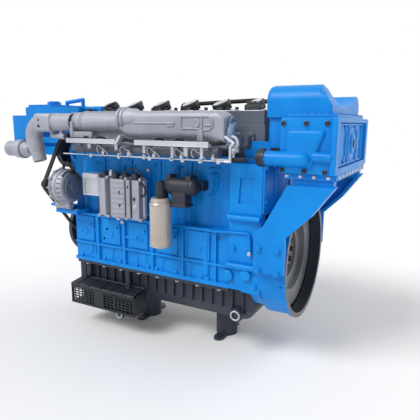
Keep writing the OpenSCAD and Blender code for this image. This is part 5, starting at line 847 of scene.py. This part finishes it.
# Oil pan: the drain plug and the ringed lifting bush low on the near side, both bolted through the wall.
# Black enamel with a bare steel ring.
bush = bmesh.new()
turned(bush, (-238, -186, -252), near, [(0, 34), (26, 32), (38, 29), (41, 26), (41, 18), (34, 17)], 32)
turned(bush, (-838, -268, -356), near, [(0, 22), (18, 21), (22, 18)], 28)
for x in range(-1090, -260, 104):
    turned(bush, (x, -206, -140), (0, -1, -0.2), [(0, 8), (5, 8), (6, 6)], 12)
piece("oil_pan_bushes", bush, "black_enamel")
bush_rings = bmesh.new()
ring(bush_rings, (-238, -227, -252), far, 20, 3.5, 32)
ring(bush_rings, (-838, -290, -356), far, 14.5, 3, 28)
piece("oil_pan_bush_rings", bush_rings, "zinc_steel")

# Lower guard: a moulded nylon cover over the low pipes, hung from the oil pan's flange by two flat straps.
# Its front is a grille of wide slots, its front end is open and low ribs cross its top.
guard_start, guard_end = guard_x = (-1140, -735)
guard = bmesh.new()
top = [(-301, -250), (-305, -246), (-305, -240), (-302.5, -236.5), (-298, -235), (-216, -225), (-213, -226),
       (-213, -234), (-290, -245)]
for start, end in ((guard_start, -1098), (-1092, -1022), (-1017, -948), (-943, -874), (-869, -800),
                   (-795, guard_end)):
    ends = [(start, 1.2), (start + 1.2, 0), (end - 1.2, 0), (end, 1.2)]
    skin(guard, [[(x, y + (inset if y < -260 else -inset), z - (inset if z > -240 else 0)) for y, z in top]
                 for x, inset in ends])
skin(guard, [[(x, y, z) for y, z in ((-301, -239), (-209, -227), (-209, -232), (-301, -244))] for x in guard_x])
box(guard, guard_x, (-216, -207), (-234, -222), 1.5, 2, "x")
box(guard, guard_x, (-212, -207), (-342, -226), 1, 1.5, "x")
box(guard, guard_x, (-303, -207), (-342, -337), 1, 3)
box(guard, (-741, guard_end), (-303, -207), (-341, -236), 1.5, 6, "x")
for y in ((-302, -288), (-221, -207)):
    box(guard, (guard_start, -1135), y, (-341, -238), 1, 2, "x")
for z in ((-342, -331), (-256, -240)):
    box(guard, guard_x, (-304, -298), z, 1.5, 2.5, "y")
# the grille's bars, five along and eighteen upright, and a smooth pad on them
for i in range(5):
    box(guard, (-1138, -737), (-302, -298), span(-316.5 + 13.5 * i, 2.5), 0.8, 1, "y")
for i in range(18):
    box(guard, span(-1137 + 23.5 * i, 4.5 if i == 12 else 2), (-304, -299), (-338, -246), 0.8, 1, "y")
box(guard, (-985, -923), (-305, -299), (-328, -244), 1.2, 4, "y")
for x in ((-1130, -1094), (-832, -812)):
    box(guard, x, (-240, -232), (-236, -128), 1, 2)
piece("lower_guard_grille", guard, "black_plastic", hides="lower_guard")

# Front cover: hexagon bolts hold it to the block all round its edge.
# High tensile steel, painted over with the engine.
cover_bolts = bmesh.new()
edge_places = [(-158, z) for z in (-88, 0, 88, 176, 264, 344)] + [(158, z) for z in (-88, 0, 80, 250, 330, 404)]
edge_places += [(y, 410) for y in (-62, 20, 102)] + [(y, -104) for y in (-100, 0, 100)]
bolts(cover_bolts, [(-1191.5, y, z) for y, z in edge_places], fore, 15, 8)
piece("front_cover_bolts", cover_bolts, "engine_paint")

# Front elbow: a cast neck with two tapped holes, shown as dark discs of painted shade, a quarter bend and a tapering
# leg with a pressed sleeve.
# Sand cast aluminium; the leg's mouth is open.
neck_y, neck_z, neck_r, bend_x, bend_r = -300, 578, 41.5, -1270, 75
neck = bmesh.new()
# (x, z, lean in degrees, radius) along the neck, round the bend and down the leg
stations = [(-1066, neck_z, 0, neck_r), (bend_x, neck_z, 0, neck_r)]
stations += [(bend_x - bend_r * sin(radians(t)), neck_z - bend_r + bend_r * cos(radians(t)), t, neck_r)
             for t in range(9, 108, 7)]
stations += [(-1341.7 + 0.292 * s, 481.1 - 0.956 * s, 107, r) for s, r in (
    (10, 41), (28, 39.5), (56, 34.5), (58, 33), (59, 34), (99, 33.5), (102, 32), (102, 28.5), (56, 28))]
skin(neck, [circle((x, neck_y, z), (-sin(radians(t)), 0, cos(radians(t))), far, r, 36) for x, z, t, r in stations])
box(neck, (-1288, -1186), (-346.5, -254), (531, 620), 4, 22, "x")
turned(neck, (-1187, neck_y, neck_z), aft, [(0, 41), (2, 44), (8, 44), (10, 41.6)], 36)
turned(neck, (-1078, -289, neck_z), aft, [(0, 41.6), (3, 46), (11, 46.5), (12, 44)], 36)
turned(neck, (-1226, neck_y, 514), (1, 0, -0.04), [(0, 6), (3, 9), (10, 11), (70, 14), (98, 14), (100, 12)], 24)
for x in (-1214, -1150):
    box(neck, span(x, 9), (-309, -291), (516, 542), 1, 4)
piece("cast_front_elbow", neck, "cast_aluminium", hides="front_elbow")
neck_hole_shades = bmesh.new()
# the dark discs in the two tapped holes are painted shade
for z, size in ((588, 5.5), (559, 8)):
    turned(neck_hole_shades, (-1256, -345.5, z), near,
           [(0, size), (1.8, size), (2.4, size * 0.75), (1.4, size * 0.5)], 20)
piece("front_elbow_hole_shades", neck_hole_shades, "black_rubber")

# Expansion tank: a bolted cover plate on the front, and a gauge glass between two fittings beside it.
# Folded and welded sheet steel, painted with the engine.
tank = bmesh.new()
slab(tank, "x", oblong(-122, 92, 440, 596, 18), -1689.5, -1696, 2)
tank_bolts = [(y, z) for y in (-110, -44, 15, 80) for z in (450, 586)]
tank_bolts += [(y, z) for z in (496, 540) for y in (-110, 80)]
bolts(tank, [(-1695.5, y, z) for y, z in tank_bolts], fore, 12, 6)
for z in (462, 576):
    turned(tank, (-1689, 122, z), fore, [(0, 11), (2, 12), (9, 12), (10, 9)], 6)
for y in (-148.5, 148.5):
    tube(tank, [(-1688, y, 424), (-1688, y, 610)], 2.4, 5, 8)
    tube(tank, [(-1572, y, 655), (-1190, y, 655)], 2.4, 5, 8)
piece("expansion_tank_cover", tank, "engine_paint")
gauge = bmesh.new()
turned(gauge, (-1695, 122, 470), upward, [(0, 4.5), (2, 5), (96, 5), (98, 4.5)], 14)
piece("tank_gauge_glass", gauge, "zinc_steel", pale_lid)

# Wiring trays: two folded channels along the head, each on flat arms, with straps down to the leak-off line.
# Zinc plated sheet 2 mm thick; the front tray's end is kicked up. A taped loom lies in each.
tray = bmesh.new()
for start, end in ((-1040, -752), (-648, -293)):
    box(tray, (start, end), (-382, -378), (484, 507), 0.8, 3, "y")
    box(tray, (start, end), (-345, -342), (484, 500), 0.8, 3, "y")
    box(tray, (start, end), (-382, -342), (484, 487), 0.8, 1.5)
    for x in (start, end - 3):
        box(tray, (x, x + 3), (-381, -343), (485, 499), 0.8, 1.5, "x")
    for x in (start + 30, (start + end) / 2, end - 30):
        box(tray, span(x, 8), (-346, -168), (481, 484.5), 0.8, 2)
kick = [(-756, 484), (-748, 484), (-722, 520), (-724, 526), (-732, 524), (-756, 494)]
slab(tray, "y", rounded(kick, 2), -380, -344, 1)
for x, wide, low in ((-936, 18, 462), (-778, 16, 458), (-626, 14, 450), (-483, 13, 438), (-418, 19, 446),
                     (-344, 13, 438)):
    box(tray, span(x, wide / 2), (-344, -340), (low, 488), 0.8, 2, "y")
piece("wiring_tray_channels", tray, "zinc_steel", hides="wiring_tray")
loom = bmesh.new()
tube(loom, [(-1100, -330, 512), (-1060, -356, 500), (-1020, -362, 496), (-770, -362, 496), (-730, -340, 506),
            (-690, -330, 500), (-650, -356, 497), (-310, -362, 497), (-280, -340, 500), (-262, -300, 502)], 8, 30, 12)
for x in (-960, -880, -560, -460):
    tube(loom, [(x, -362, 500), (x + 6, -352, 514), (x + 4, -300, 508), (x, -250, 470)], 4, 14, 10)
piece("tray_wiring_loom", loom, "black_rubber")

scene.view_settings.view_transform = "Standard"
